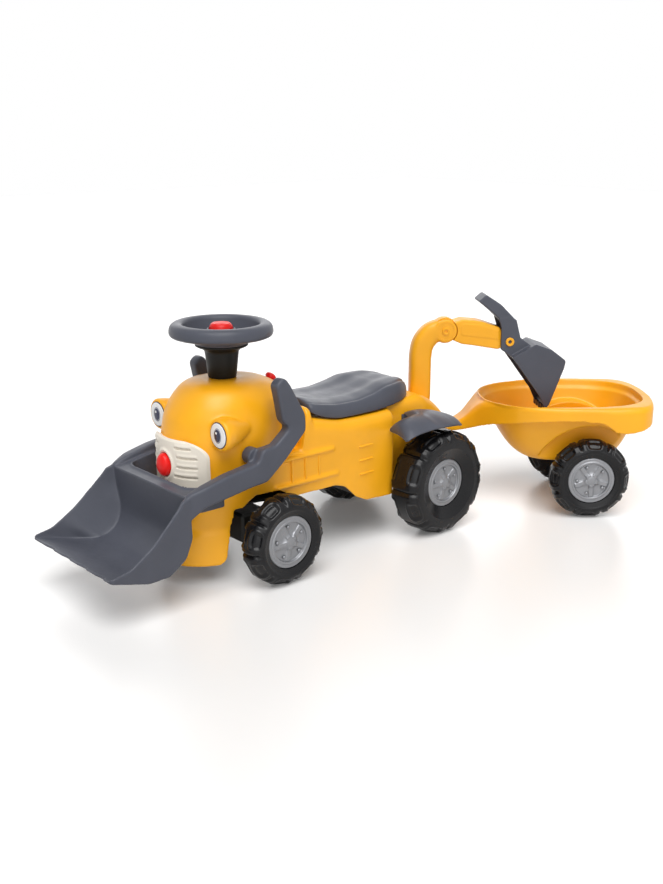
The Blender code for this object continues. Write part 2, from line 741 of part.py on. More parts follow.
def tyre_mesh(name, radius, width, dish, inner_boss):
    """A moulded tyre about X, its outer face at x = 0, with lugs round both shoulders."""
    bore = AXLE_RADIUS + RUN / 2
    cap_seat = CAP_RADIUS + GAP * 2
    lip = cap_seat + 0.002 + dish * 1.7
    steps = LUGS * 3
    sections = []
    for k in range(steps):
        raised = k % 3 < 2
        shoulder = radius - (0.0035 if raised else 0.0035 + LUG_DEPTH)
        tread = radius if raised else radius - LUG_DEPTH * 0.6
        profile = (
            (bore, -dish - CAP_DEPTH),
            (cap_seat, -dish - CAP_DEPTH),
            (cap_seat, -dish),
            (lip, -0.0010),
            (radius - 0.013, 0.0),
            (shoulder, -0.0075),
            (tread, -0.0180),
            (tread, -width + 0.0160),
            (shoulder, -width + 0.0060),
            (radius - 0.013, -width),
            (0.013, -width),
            (0.013, -width - inner_boss),
            (bore, -width - inner_boss),
        )
        turn = 2 * math.pi * k / steps
        sections.append([Vector((x, r * math.cos(turn), r * math.sin(turn))) for r, x in profile])
    return ring_solid(name, sections)


def cap_mesh(name, dish):
    """The silver hub cap about X: a stepped rim and a domed middle, over the end of the axle."""
    profile = (
        (0.0, 0.0015),
        (0.013, 0.0005),
        (0.019, -0.0035),
        (0.036, -0.0042),
        (0.040, 0.0),
        (CAP_RADIUS, -0.0010),
        (CAP_RADIUS, -CAP_DEPTH + GAP),
        (0.009, -CAP_DEPTH + GAP),
        (0.009, -0.0040),
        (0.0, -0.0040),
    )
    mesh = turned_mesh(name, profile, steps=16)
    mesh.transform(Matrix.Translation((-dish, 0, 0)) @ Matrix.Rotation(math.pi / 2, 4, "Y"))
    return mesh


def make_wheel(name, parent, sign, out, y, z, big, reach):
    """A tyre and its hub cap on one side, its hub tube running in to what carries the axle."""
    hub = frame_at(name + "_axis", parent, (out * sign, y, z))
    sizes = (BIG_RADIUS, BIG_WIDTH, BIG_DISH) if big else (SMALL_RADIUS, SMALL_WIDTH, SMALL_DISH)
    radius, width, dish = sizes
    boss = out - width - reach - RUN
    turn = (0, 0, 0) if sign > 0 else (0, 0, math.pi)
    tyre = tyre_mesh(name + "_tyre", radius, width, dish, boss)
    piece(name + "_tyre", tyre, BLACK, hub, (0, 0, 0), turn)
    piece(name + "_hub_cap", cap_mesh(name + "_hub_cap", dish), SILVER, hub, (0, 0, 0), turn)


def axle_piece(name, parent, half, y, z):
    """A plated steel rod along X."""
    mesh = rod_mesh(name, AXLE_RADIUS, half * 2, 16)
    return piece(name, mesh, STEEL, parent, (-half, y, z), (0, math.pi / 2, 0))


def axle_half(out, dish):
    """Half the axle's length, so that its end lies just inside the hub cap."""
    return out - dish - 0.0055


def make_front_end(root):
    """Everything that turns with the steering wheel."""
    steer = frame_at("steering_axis", root, (0, STEER_Y, 0))
    half = CARRIER_HALF
    carrier = box_mesh("front_axle_carrier", (-half, -0.018, 0.060), (half, 0.038, 0.112))
    body = piece("front_axle_carrier", carrier, BLACK, steer)
    bevel(body, 0.004, 1)
    hollow = box_mesh("carrier_hollow", (-half + 0.0035, -0.0145, 0.04), (half - 0.0035, 0.0345, 0.1085))
    boolean(body, helper("carrier_hollow", hollow, steer))
    boss = rod_mesh("carrier_boss", 0.0140, 0.1215 - 0.075, 24)
    boolean(body, helper("carrier_boss", boss, steer, (0, 0, 0.075)), "UNION")
    round_cut(body, steer, "carrier_socket", SHAFT_RADIUS + GAP, (0, 0, 0.0895), 0.05)
    side_cut(body, steer, "carrier_bore", AXLE_RADIUS + GAP, -STEER_Y, SMALL_RADIUS, 0.3, 16)
    axle_piece("front_axle", steer, axle_half(FRONT_OUT, SMALL_DISH), -STEER_Y, SMALL_RADIUS)
    for side, sign in SIDES:
        make_wheel("front_%s" % side, steer, sign, FRONT_OUT, -STEER_Y, SMALL_RADIUS, False, CARRIER_HALF)
    shaft = rod_mesh("steering_shaft", SHAFT_RADIUS, COLUMN_TOP - 0.004 - 0.0900, 20)
    piece("steering_shaft", shaft, STEEL, steer, (0, 0, 0.0900))
    make_column(steer)
    make_steering_wheel(steer)


def make_column(steer):
    """The black column with its flared head, a sleeve round the shaft above the hood."""
    foot = HOOD_TOP + GAP * 2
    bore = SHAFT_RADIUS + GAP
    profile = (
        (bore, COLUMN_TOP),
        (HUB_RADIUS, COLUMN_TOP),
        (HUB_RADIUS, COLUMN_TOP - 0.0035),
        (HUB_RADIUS - 0.0090, COLUMN_TOP - 0.0070),
        (COLUMN_RADIUS + 0.001, COLUMN_TOP - 0.0105),
        (COLUMN_RADIUS, COLUMN_TOP - 0.0160),
        (COLUMN_FOOT, foot),
        (bore, foot),
    )
    piece("steering_column", turned_mesh("steering_column", profile, 24, closed=True), BLACK, steer)


def make_steering_wheel(steer):
    """The dished wheel, the red horn cap in its middle and the spring under the cap."""
    low = COLUMN_TOP + GAP
    tube = RING_TUBE
    arc = [math.radians(a) for a in (150, 100, 50, 0, -50, -100)]
    ring = [(RING_RADIUS + tube * math.cos(a), RING_Z + tube * math.sin(a)) for a in arc]
    well = HORN_RADIUS + RUN
    profile = (
        [(well, low + HORN_RISE + 0.0130), (well + 0.003, low + HORN_RISE + 0.0125), (0.034, low + 0.0120)]
        + [(0.060, low + 0.0120)]
        + ring
        + [(HUB_RADIUS, low), (0.0, low), (0.0, low + 0.0040), (well, low + 0.0040)]
    )
    piece("steering_wheel", turned_mesh("steering_wheel", profile, 28, closed=True), SLATE, steer)
    top = low + HORN_RISE + 0.0245
    cap = (
        (0.0, top),
        (0.009, top - 0.0010),
        (0.0155, top - 0.0040),
        (HORN_RADIUS, top - 0.0095),
        (HORN_RADIUS, low + 0.0080),
        (HORN_RADIUS - 0.0030, low + 0.0080),
        (HORN_RADIUS - 0.0030, top - 0.0095),
        (0.0, top - 0.0085),
    )
    piece("horn_button", turned_mesh("horn_button", cap, 18), RED, steer)
    make_spring(steer, low + 0.0040 + GAP + 0.0007, top - 0.0095 - 0.0007 - GAP)


def make_spring(steer, low, high):
    """The horn cap's return spring, one unbroken coil of fine wire."""
    points = []
    per_turn = 10
    wire = 0.0006
    for k in range(SPRING_TURNS * per_turn + 1):
        turn = 2 * math.pi * k / per_turn
        rise = low + (high - low) * k / (SPRING_TURNS * per_turn)
        points.append((0.009 * math.cos(turn), 0.009 * math.sin(turn), rise))
    curve = bpy.data.curves.new("horn_spring", "CURVE")
    curve.dimensions = "3D"
    curve.bevel_depth = wire
    curve.bevel_resolution = 0
    curve.use_fill_caps = True
    spline = curve.splines.new("POLY")
    spline.points.add(len(points) - 1)
    for slot, point in zip(spline.points, points):
        slot.co = (*point, 1)
    source = bpy.data.objects.new("horn_spring", curve)
    Shop.cutters.objects.link(source)
    depsgraph = bpy.context.evaluated_depsgraph_get()
    mesh = bpy.data.meshes.new_from_object(source.evaluated_get(depsgraph))
    bpy.data.objects.remove(source, do_unlink=True)
    work = bmesh.new()
    work.from_mesh(mesh)
    bpy.data.meshes.remove(mesh)
    bmesh.ops.remove_doubles(work, verts=work.verts, dist=0.00001)
    piece("horn_spring", mesh_of("horn_spring", work), STEEL, steer)


def make_dash_button(dash):
    """The red sound button on the back of the hood, with its stem through the shell."""
    under = DASH_TRAVEL + 0.001
    profile = (
        (0.0, under + 0.0080),
        (0.006, under + 0.0065),
        (DASH_RADIUS, under + 0.0025),
        (DASH_RADIUS, under),
        (DASH_RADIUS - 0.002, under),
        (DASH_RADIUS - 0.002, -0.010),
        (0.0, -0.010),
    )
    piece("dash_button", turned_mesh("dash_button", profile), RED, dash)


def make_rear_axle(root):
    axle_piece("rear_axle", root, axle_half(REAR_OUT, BIG_DISH), WHEELBASE, BIG_RADIUS)
    for side, sign in SIDES:
        make_wheel("rear_%s" % side, root, sign, REAR_OUT, WHEELBASE, BIG_RADIUS, True, TAIL_HALF)


# Fender stations, front to back: y, inner x, outer x, inner z, crown z, outer z
FENDER = (
    (WHEELBASE - 0.1100, 0.1380, 0.1500, 0.206, 0.2070, 0.2050),
    (WHEELBASE - 0.1020, 0.1150, 0.1560, 0.212, 0.2165, 0.2060),
    (WHEELBASE - 0.0910, 0.0960, 0.1610, 0.205, 0.2280, 0.2095),
    (TAIL_START + 0.0055, 0.0950, 0.1650, 0.216, 0.2380, 0.2140),
    (TAIL_START + 0.0095, TAIL_HALF + 0.001, 0.1655, 0.212, 0.2385, 0.2150),
    (WHEELBASE - 0.0340, TAIL_HALF + 0.001, 0.1660, 0.222, 0.2420, 0.2175),
    (WHEELBASE + 0.0010, TAIL_HALF + 0.001, 0.1620, 0.220, 0.2390, 0.2160),
    (WHEELBASE + 0.0310, 0.0720, 0.1520, 0.213, 0.2270, 0.2110),
    (WHEELBASE + 0.0510, 0.0840, 0.1400, 0.205, 0.2150, 0.2050),
    (WHEELBASE + 0.0630, 0.0980, 0.1230, 0.199, 0.2040, 0.1990),
)


def make_fenders(root):
    """The slate mudguards over the back wheels, each a curved leaf with a foot on the tail."""
    for side, sign in SIDES:
        work = bmesh.new()
        rows = []
        for y, inner, outer, low, crown, tip in FENDER:
            row = []
            for k in range(6):
                t = k / 5
                x = inner + (outer - inner) * t
                z = (1 - t) ** 2 * low + 2 * t * (1 - t) * (crown + (crown - tip) * 0.5) + t * t * tip
                row.append(work.verts.new((x * sign, y, z)))
            rows.append(row)
        for a, b in zip(rows, rows[1:]):
            for k in range(5):
                work.faces.new((a[k], a[k + 1], b[k + 1], b[k]))
        bmesh.ops.recalc_face_normals(work, faces=work.faces)
        if sum(face.normal.z for face in work.faces) < 0:
            bmesh.ops.reverse_faces(work, faces=work.faces)
        mesh = bpy.data.meshes.new("fender_" + side)
        work.to_mesh(mesh)
        work.free()
        fender = piece("fender_" + side, mesh, SLATE, root)
        shell = fender.modifiers.new("wall", "SOLIDIFY")
        shell.thickness = WALL
        shell.offset = -1
        line = [(row[0], row[3] - WALL / 2) for row in FENDER if row[1] == TAIL_HALF + 0.001]
        flange = [(line[0][0], line[0][1] - 0.014), (line[-1][0], line[0][1] - 0.014)] + line[::-1]
        middle = (TAIL_HALF + GAP + WALL / 2) * sign
        foot = slab_mesh("fender_foot", flange, WALL, across(middle))
        boolean(fender, helper("fender_foot_" + side, foot, root), "UNION")


# Loader arm outline in side view: y, z, corner radius
ARM = (
    (-0.0060, 0.3430, 0.008),
    (0.0110, 0.3560, 0.008),
    (0.0235, 0.3420, 0.008),
    (0.0560, 0.2860, 0.015),
    (0.0580, 0.2560, 0.012),
    (0.0120, 0.2120, 0.015),
    (-0.0260, 0.1820, 0.010),
    (-0.0560, 0.1800, 0.010),
    (-0.1260, 0.1690, 0.030),
    (-0.1500, 0.1655, 0.010),
    (-0.1722, 0.1540, 0.001),
    (-0.1738, 0.1883, 0.0),
    (-0.1890, 0.1846, 0.0),
    (-0.1912, 0.1878, 0.002),
    (-0.1780, 0.2010, 0.012),
    (-0.1480, 0.2070, 0.020),
    (-0.1040, 0.2150, 0.030),
    (-0.0440, 0.2210, 0.006),
    (-0.0350, 0.2400, 0.010),
    (-0.0080, 0.2420, 0.010),
    (0.0230, 0.2670, 0.008),
    (0.0080, 0.2780, 0.010),
    (0.0000, 0.3180, 0.020),
)

# Front bucket side outline: y, z, corner radius
SCOOP = (
    (-0.1880, 0.1838, 0.003),
    (-0.1745, 0.1872, 0.003),
    (-0.1715, 0.1180, 0.015),
    (-0.1850, 0.0860, 0.020),
    (-0.2180, 0.0660, 0.020),
    (-0.2600, 0.0660, 0.030),
    (-0.3270, 0.0850, 0.002),
    (-0.3300, 0.0910, 0.002),
    (-0.2920, 0.0985, 0.030),
    (-0.2500, 0.1250, 0.060),
    (-0.2020, 0.1690, 0.030),
)


def make_loader(root):
    """The front loader: two arms with hand levers, the cross plate and the bucket."""
    pivot = frame_at("loader_axis", root, (0, LOADER_Y, LOADER_Z))
    back = Matrix.Translation((0, -LOADER_Y, -LOADER_Z))
    for side, sign in SIDES:
        middle = (ARM_IN + ARM_OUT) / 2 * sign
        mesh = slab_mesh("loader_arm", rounded(ARM, 0.01, 2), ARM_OUT - ARM_IN, back @ across(middle))
        arm = piece("loader_arm_" + side, mesh, SLATE, pivot)
        bevel(arm, 0.004, 1, 50)
        reach = between(HOOD, LOADER_Z)[1] + RUN
        boss = rod_mesh("arm_boss", PIVOT_BOSS, ARM_IN + 0.004 - reach, 20)
        start = reach if sign > 0 else -ARM_IN - 0.004
        boolean(arm, helper("arm_boss_" + side, boss, pivot, (start, 0, 0), (0, math.pi / 2, 0)), "UNION")
        bore = rod_mesh("arm_bore", PIVOT_RADIUS + GAP, 0.030, 20)
        start = reach - 0.010 if sign > 0 else -reach - 0.020
        boolean(arm, helper("arm_bore_" + side, bore, pivot, (start, 0, 0), (0, math.pi / 2, 0)))
        pin = rod_mesh("loader_pin", PIVOT_RADIUS, 0.034, 20)
        start = 0.0735 if sign > 0 else -0.1075
        piece("loader_pin_" + side, pin, STEEL, root, (start, LOADER_Y, LOADER_Z), (0, math.pi / 2, 0))
    make_cross_plate(pivot, back)
    make_bucket(pivot, back)


def make_cross_plate(pivot, back):
    """The sloping shelf between the arms, with a round opening that the grille stands in."""
    half = ARM_IN - GAP
    outline = ((-half, PLATE_FRONT), (half, PLATE_FRONT), (half, -0.0950, 0.004), (-half, -0.0950, 0.004))
    mesh = slab_mesh("loader_cross_plate", rounded(outline, 0.0), 0.005, Matrix.Identity(4))
    slope = Matrix.Translation((0, PLATE_FRONT, 0.1860)) @ Matrix.Rotation(math.radians(10), 4, "X")
    mesh.transform(back @ slope @ Matrix.Translation((0, -PLATE_FRONT, 0)))
    plate = piece("loader_cross_plate", mesh, SLATE, pivot)
    half_width, front, rear = between(HOOD, 0.2)[1:]
    clear = 0.0155
    rings = [oval(half_width + clear, front - GRILLE_OUT - clear, rear, z, 36) for z in (0.12, 0.28)]
    hole = loft("shelf_opening", rings)
    hole.transform(back)
    boolean(plate, helper("shelf_opening", hole, pivot))


def taper(mesh, place):
    """Narrows the bucket towards its back, then puts it in its parent's frame."""
    for vertex in mesh.vertices:
        vertex.co.x *= between(((-0.330, 1.0), (-0.250, 0.985), (-0.180, BUCKET_BACK)), vertex.co.y)[1]
    mesh.transform(place)


def make_bucket(pivot, back):
    """The open scoop, one wall thick, with a wavy front lip."""
    outer = slab_mesh("front_bucket", rounded(SCOOP, 0.01, 3), BUCKET_HALF * 2, across(0))
    taper(outer, back)
    bucket = piece("front_bucket", outer, SLATE, pivot)
    bevel(bucket, 0.005, 1, 60)
    wall = BUCKET_WALL
    inside = (
        (-0.1850, 0.2050, 0.0),
        (-0.1745 - wall, 0.2050, 0.0),
        (-0.1715 - wall, 0.1180, 0.015),
        (-0.1850 - wall * 0.5, 0.0860 + wall * 0.7, 0.020),
        (-0.2180, 0.0660 + wall, 0.020),
        (-0.2600, 0.0660 + wall, 0.030),
        (-0.3270, 0.0850 + wall, 0.0),
        (-0.3450, 0.0900 + wall, 0.0),
        (-0.3450, 0.2050, 0.0),
    )
    hollow_mesh = slab_mesh("bucket_hollow", rounded(inside, 0.0, 3), (BUCKET_HALF - wall) * 2, across(0))
    taper(hollow_mesh, back)
    hollow = helper("bucket_hollow", hollow_mesh, pivot)
    bevel(hollow, 0.010, 2, 60)
    boolean(bucket, hollow)


def make_mast(root):
    """The turning mast, from its socket in the tail up to the forked elbow."""
    bore = MAST_RADIUS + RUN / 2
    socket = (
        (bore, 0.1880),
        (bore + 0.0030, 0.1880),
        (bore + 0.0030, MAST_FOOT - 0.0042),
        (0.0, MAST_FOOT - 0.0042),
        (0.0, MAST_FOOT - RUN),
        (bore, MAST_FOOT - RUN),
    )
    piece("mast_socket", turned_mesh("mast_socket", socket, 24, closed=True), BLACK, root, (0, MAST_Y, 0))
    mast_axis = frame_at("mast_axis", root, (0, MAST_Y, 0), -MAST_YAW)
    post = rod_mesh("mast", MAST_RADIUS, MAST_BEND - MAST_FOOT, 24)
    mast = piece("mast", post, YELLOW, mast_axis, (0, 0, MAST_FOOT))
    r = MAST_RADIUS
    elbow = (
        (-r + 0.0005, MAST_BEND - 0.012, 0.0),
        (r - 0.0005, MAST_BEND - 0.012, 0.0),
        (r + 0.002, 0.3300, 0.010),
        (ELBOW_S, ELBOW_Z - ELBOW_RADIUS, 0.0),
        (ELBOW_S + ELBOW_RADIUS * 0.707, ELBOW_Z - ELBOW_RADIUS * 0.707, 0.008),
        (ELBOW_S + ELBOW_RADIUS, ELBOW_Z, 0.008),
        (ELBOW_S + ELBOW_RADIUS * 0.707, ELBOW_Z + ELBOW_RADIUS * 0.707, 0.008),
        (ELBOW_S, ELBOW_Z + ELBOW_RADIUS, 0.008),
        (0.0150, 0.3730, 0.020),
        (-0.0140, 0.3520, 0.020),
    )
    shape = slab_mesh("elbow", rounded(elbow, 0.010, 3), MAST_HALF * 2, across(0))
    bend = helper("elbow", shape, mast_axis)
    bevel(bend, 0.006, 1, 50)
    step = mast.modifiers.new("join_elbow", "BOOLEAN")
    step.operation = "UNION"
    step.object = bend
    slot_half = EYE_HALF + RUN / 2
    gap = rod_mesh("mast_slot", 0.0262, slot_half * 2, 20)
    boolean(mast, helper("mast_slot", gap, mast_axis, (-slot_half, ELBOW_S, ELBOW_Z), (0, math.pi / 2, 0)))
    bore = rod_mesh("mast_bore", BOOM_PIN + GAP, 0.06, 16)
    boolean(mast, helper("mast_bore", bore, mast_axis, (-0.03, ELBOW_S, ELBOW_Z), (0, math.pi / 2, 0)))
    pin = rod_mesh("elbow_pin", BOOM_PIN, MAST_HALF * 2 + 0.003, 16)
    start = -MAST_HALF - 0.0015
    piece("elbow_pin", pin, STEEL, mast_axis, (start, ELBOW_S, ELBOW_Z), (0, math.pi / 2, 0))
    make_boom(mast_axis)


def make_boom(mast_axis):
    """The boom, its eye in the mast's fork, and the digging bucket on its far end."""
    boom_axis = frame_at("boom_axis", mast_axis, (0, ELBOW_S, ELBOW_Z))
    back = Matrix.Translation((0, -ELBOW_S, -ELBOW_Z))
    outline = (
        (ELBOW_S + 0.004, 0.3460, 0.0),
        (0.0800, 0.3335, 0.020),
        (0.1000, 0.3310, 0.060),
        (0.1555, 0.3215, 0.004),
        (0.1555, 0.3650, 0.004),
        (0.1150, 0.3790, 0.060),
        (0.0800, 0.3825, 0.020),
        (ELBOW_S + 0.004, 0.3740, 0.0),
    )
    beam = slab_mesh("boom", rounded(outline, 0.004, 4), BOOM_HALF * 2, back @ across(0))
    boom = piece("boom", beam, YELLOW, boom_axis)
    bevel(boom, 0.005, 1, 50)
    clear = rod_mesh("boom_clear", ELBOW_RADIUS + 0.0012, 0.06, 24)
    boolean(boom, helper("boom_clear", clear, boom_axis, (-0.03, 0, 0), (0, math.pi / 2, 0)))
    eye = rod_mesh("boom_eye", 0.0254, EYE_HALF * 2, 20)
    boolean(boom, helper("boom_eye", eye, boom_axis, (-EYE_HALF, 0, 0), (0, math.pi / 2, 0)), "UNION")
    tip_half = BOOM_HALF - 0.0005
    nose = (
        (0.1500, 0.3235, 0.0),
        (DIG_S + 0.004, DIG_Z - 0.0130, 0.006),
        (DIG_S + 0.0130, DIG_Z, 0.008),
        (DIG_S + 0.004, DIG_Z + 0.0150, 0.008),
        (0.1500, 0.3630, 0.0),
    )
    nose_mesh = slab_mesh("boom_nose", rounded(nose, 0.004, 3), tip_half * 2, back @ across(0))
    boolean(boom, helper("boom_nose", nose_mesh, boom_axis), "UNION")
    bore = rod_mesh("boom_bore", BOOM_PIN + GAP, 0.06, 16)
    boolean(boom, helper("boom_bore", bore, boom_axis, (-0.03, 0, 0), (0, math.pi / 2, 0)))
    s, z = DIG_S - ELBOW_S, DIG_Z - ELBOW_Z
    bore = rod_mesh("boom_end_bore", DIG_PIN + GAP, 0.06, 16)
    boolean(boom, helper("boom_end_bore", bore, boom_axis, (-0.03, s, z), (0, math.pi / 2, 0)))
    make_digger(boom_axis, s, z)


# Digging bucket in side view: distance behind the mast axis, z, corner radius
DIG_SHELL = (
    (0.1770, 0.3090, 0.002),
    (0.2040, 0.3240, 0.0),
    (0.2230, 0.3350, 0.006),
    (0.2560, 0.3230, 0.010),
    (0.2850, 0.3010, 0.008),
    (0.2820, 0.2860, 0.006),
    (0.2560, 0.2130, 0.003),
    (0.2480, 0.2025, 0.001),
    (0.2350, 0.2300, 0.010),
)
DIG_CHEEK = (
    (0.1565, 0.3230, 0.006),
    (0.1780, 0.3085, 0.003),
    (0.2180, 0.3300, 0.004),
    (0.1960, 0.3440, 0.006),
    (0.1860, 0.3810, 0.006),
    (0.1720, 0.3900, 0.002),
    (0.1500, 0.3840, 0.004),
    (0.1560, 0.3660, 0.003),
)
DIG_HANDLE = (
    (0.1090, 0.4180, 0.003),
    (0.1240, 0.4310, 0.004),
    (0.1550, 0.4110, 0.020),
    (0.1800, 0.3855, 0.004),
    (0.1880, 0.3640, 0.004),
    (0.1720, 0.3600, 0.006),
    (0.1500, 0.3840, 0.012),
    (0.1300, 0.4020, 0.010),
)


def make_digger(boom_axis, s, z):
    """The digging bucket: cheeks either side of the boom, the handle and the toothed scoop."""
    axis = frame_at("digger_axis", boom_axis, (0, s, z))
    back = Matrix.Translation((0, -DIG_S, -DIG_Z))
    inner = BOOM_HALF + RUN
    shell = slab_mesh("excavator_bucket", rounded(DIG_SHELL, 0.004, 2), DIG_HALF * 2, back @ across(0))
    bucket = piece("excavator_bucket", shell, SLATE, axis)
    wall = WALL
    hollow = (
        (0.1700, 0.3030, 0.0),
        (0.1810, 0.3080, 0.0),
        (0.2230, 0.3350 - wall * 1.2, 0.006),
        (0.2555, 0.3230 - wall * 1.2, 0.010),
        (0.2850 - wall, 0.3010 - wall * 0.5, 0.008),
        (0.2820 - wall, 0.2860, 0.006),
        (0.2560 - wall, 0.2135, 0.0),
        (0.2380 - wall, 0.1900, 0.0),
        (0.1700, 0.1900, 0.0),
    )
    hole = slab_mesh("digger_hollow", rounded(hollow, 0.0, 3), (DIG_HALF - wall) * 2, back @ across(0))
    boolean(bucket, helper("digger_hollow", hole, axis))
    for side, sign in SIDES:
        place = back @ across((inner + CHEEK / 2) * sign)
        plate = slab_mesh("cheek_" + side, rounded(DIG_CHEEK, 0.004, 2), CHEEK, place)
        boolean(bucket, helper("cheek_" + side, plate, axis), "UNION")
    width = (inner + CHEEK) * 2 - 0.001
    lever = slab_mesh("digger_handle", rounded(DIG_HANDLE, 0.006, 2), width, back @ across(0))
    boolean(bucket, helper("digger_handle", lever, axis), "UNION")
    clear = rod_mesh("digger_clear", 0.0205, inner * 2, 20)
    boolean(bucket, helper("digger_clear", clear, axis, (-inner, 0, 0), (0, math.pi / 2, 0)))
    for k in (-1, 0, 1):
        low = (k * 0.027 - 0.006, 0.2445 - DIG_S, 0.1965 - DIG_Z)
        tooth = box_mesh("tooth", low, (k * 0.027 + 0.006, 0.2495 - DIG_S, 0.2085 - DIG_Z))
        boolean(bucket, helper("tooth_%d" % (k + 2), tooth, axis), "UNION")
    bore = rod_mesh("digger_bore", DIG_PIN + GAP, 0.08, 16)
    boolean(bucket, helper("digger_bore", bore, axis, (-0.04, 0, 0), (0, math.pi / 2, 0)))
    half = inner + CHEEK + 0.001
    head = (
        (0.0, half + 0.003),
        (0.0075, half + 0.003),
        (0.0085, half + 0.002),
        (0.0085, half),
        (DIG_PIN, half),
        (DIG_PIN, -half + 0.001),
        (0.0, -half + 0.001),
    )
    pin = turned_mesh("bucket_pin", head, 20)
    pin.transform(Matrix.Rotation(math.pi / 2, 4, "Y"))
    piece("bucket_pin", pin, YELLOW, boom_axis, (0, s, z))


# Trailer deck sections, from the tow eye back: distance, half width, top z, bottom z
DECK = (
    (-0.020, 0.008, 0.1660, TOW_BASE + GAP),
    (-0.014, 0.016, 0.1660, TOW_BASE + GAP),
    (0.000, 0.021, 0.1665, TOW_BASE + GAP),
    (0.030, 0.024, 0.1680, TOW_BASE + GAP),
    (0.050, 0.029, 0.1780, 0.154),
    (0.075, 0.042, 0.2000, 0.163),
    (0.095, 0.060, 0.2130, 0.172),
    (0.120, 0.084, 0.2200, 0.180),
    (0.150, 0.106, RIM_Z - 0.0005, 0.187),
    (0.190, 0.124, RIM_Z, 0.193),
    (0.240, 0.1330, RIM_Z, 0.197),
    (0.298, 0.1355, RIM_Z, 0.194),
    (0.317, 0.1355, RIM_Z, 0.187),
    (0.334, 0.1350, RIM_Z, 0.174),
    (0.355, 0.1335, RIM_Z, 0.171),
    (0.385, 0.1280, RIM_Z, 0.175),
    (0.403, 0.1150, RIM_Z, 0.180),
    (0.414, 0.0950, RIM_Z, 0.182),
    (0.420, 0.0700, RIM_Z, 0.183),
    (0.425, 0.0350, RIM_Z, 0.183),
)

# Trailer tub rings, bottom to top: z, half width, front, back
TUB = (
    (TUB_FLOOR, 0.0600, 0.190, 0.335),
    (0.1040, 0.0780, 0.168, 0.353),
    (0.1250, 0.0910, 0.142, 0.372),
    (0.1650, 0.1040, 0.116, 0.388),
    (0.2050, 0.1140, 0.094, 0.397),
    (RIM_Z - 0.0015, 0.1180, 0.086, 0.400),
)
TUB_MIDDLE = 0.245
TUB_POWER = 2.9


def deck_mesh(name, inset):
    rings = []
    for s, half, top, low in DECK:
        if inset > 0 and s < 0.045:
            continue
        width = half - inset
        high = top - inset
        floor = low - 0.06 if inset > 0 else low
        place = s - inset if s == DECK[-1][0] else s
        soft = min(0.010, (high - floor) * 0.3, width * 0.4)
        side = [Vector((width, place, floor)), Vector((width, place, high - soft))]
        side += [Vector((width - soft * 0.3, place, high - soft * 0.3)), Vector((width - soft, place, high))]
        rings.append(side + [Vector((-p.x, p.y, p.z)) for p in reversed(side)])
    return loft(name, rings)


def tub_mesh(name, inset):
    rings = []
    for z, half, front, back in TUB:
        height = z + inset if z < 0.12 else z
        rings.append(oval(half - inset, front + inset, back - inset, height, 24, TUB_POWER, TUB_MIDDLE))
    if inset > 0:
        z, half, front, back = TUB[-1]
        wide = inset - 0.003
        rings.append(oval(half - wide, front + wide, back - wide, z + 0.03, 24, TUB_POWER, TUB_MIDDLE))
    return loft(name, rings)


def make_trailer(root):
    """The one-piece trailer tub with its tow bar, and the trailer's axle and wheels."""
    tow = frame_at("tow_axis", root, (0, TOW_Y, 0), -TOW_YAW)
    tub = piece("trailer_tub", deck_mesh("trailer_tub", 0.0), YELLOW, tow)
    boolean(tub, helper("deck_hollow", deck_mesh("deck_hollow", 0.0032), tow))
    bowl = helper("tub_bowl", tub_mesh("tub_bowl", 0.0), tow)
    hollow = helper("tub_hollow", tub_mesh("tub_hollow", WALL), tow)
    for side, sign in SIDES:
        for target, grow in ((bowl, 0.0), (hollow, WALL)):
            name = "arch_%s_%s" % (side, "wall" if grow else "face")
            start = ARCH_FACE - grow if sign > 0 else -ARCH_FACE + grow - 0.1
            arch = rod_mesh(name, ARCH_RADIUS + grow, 0.1, 24)
            boolean(target, helper(name, arch, tow, (start, TUB_AXLE, SMALL_RADIUS), (0, math.pi / 2, 0)))
    boolean(tub, bowl, "UNION")
    boolean(tub, hollow)
    for side, sign in SIDES:
        ends = sorted(((EAR_OUT - 0.010) * sign, EAR_OUT * sign))
        low = (ends[0], TUB_AXLE - 0.016, SMALL_RADIUS - 0.011)
        ear = box_mesh("axle_ear", low, (ends[1], TUB_AXLE + 0.016, TUB_FLOOR + 0.006))
        boolean(tub, helper("axle_ear_" + side, ear, tow), "UNION")
    side_cut(tub, tow, "trailer_bore", AXLE_RADIUS + GAP, TUB_AXLE, SMALL_RADIUS, 0.3, 16)
    round_cut(tub, tow, "eye_bore", TOW_PIN + RUN, (0, 0, 0.12), 0.08)
    axle_piece("trailer_axle", tow, axle_half(TUB_OUT, SMALL_DISH), TUB_AXLE, SMALL_RADIUS)
    for side, sign in SIDES:
        make_wheel("trailer_%s" % side, tow, sign, TUB_OUT, TUB_AXLE, SMALL_RADIUS, False, EAR_OUT)
    pin = (
        (0.0, 0.1740),
        (0.0080, 0.1735),
        (0.0100, 0.1715),
        (0.0100, 0.1690),
        (TOW_PIN, 0.1690),
        (TOW_PIN, 0.1190),
        (0.0, 0.1190),
    )
    piece("tow_pin", turned_mesh("tow_pin", pin, 20), BLACK, root, (0, TOW_Y, 0))
    clip = ((TOW_PIN + GAP, 0.1288), (0.0095, 0.1288), (0.0095, 0.1260), (TOW_PIN + GAP, 0.1260))
    piece("tow_pin_clip", turned_mesh("tow_pin_clip", clip, 20, closed=True), STEEL, root, (0, TOW_Y, 0))


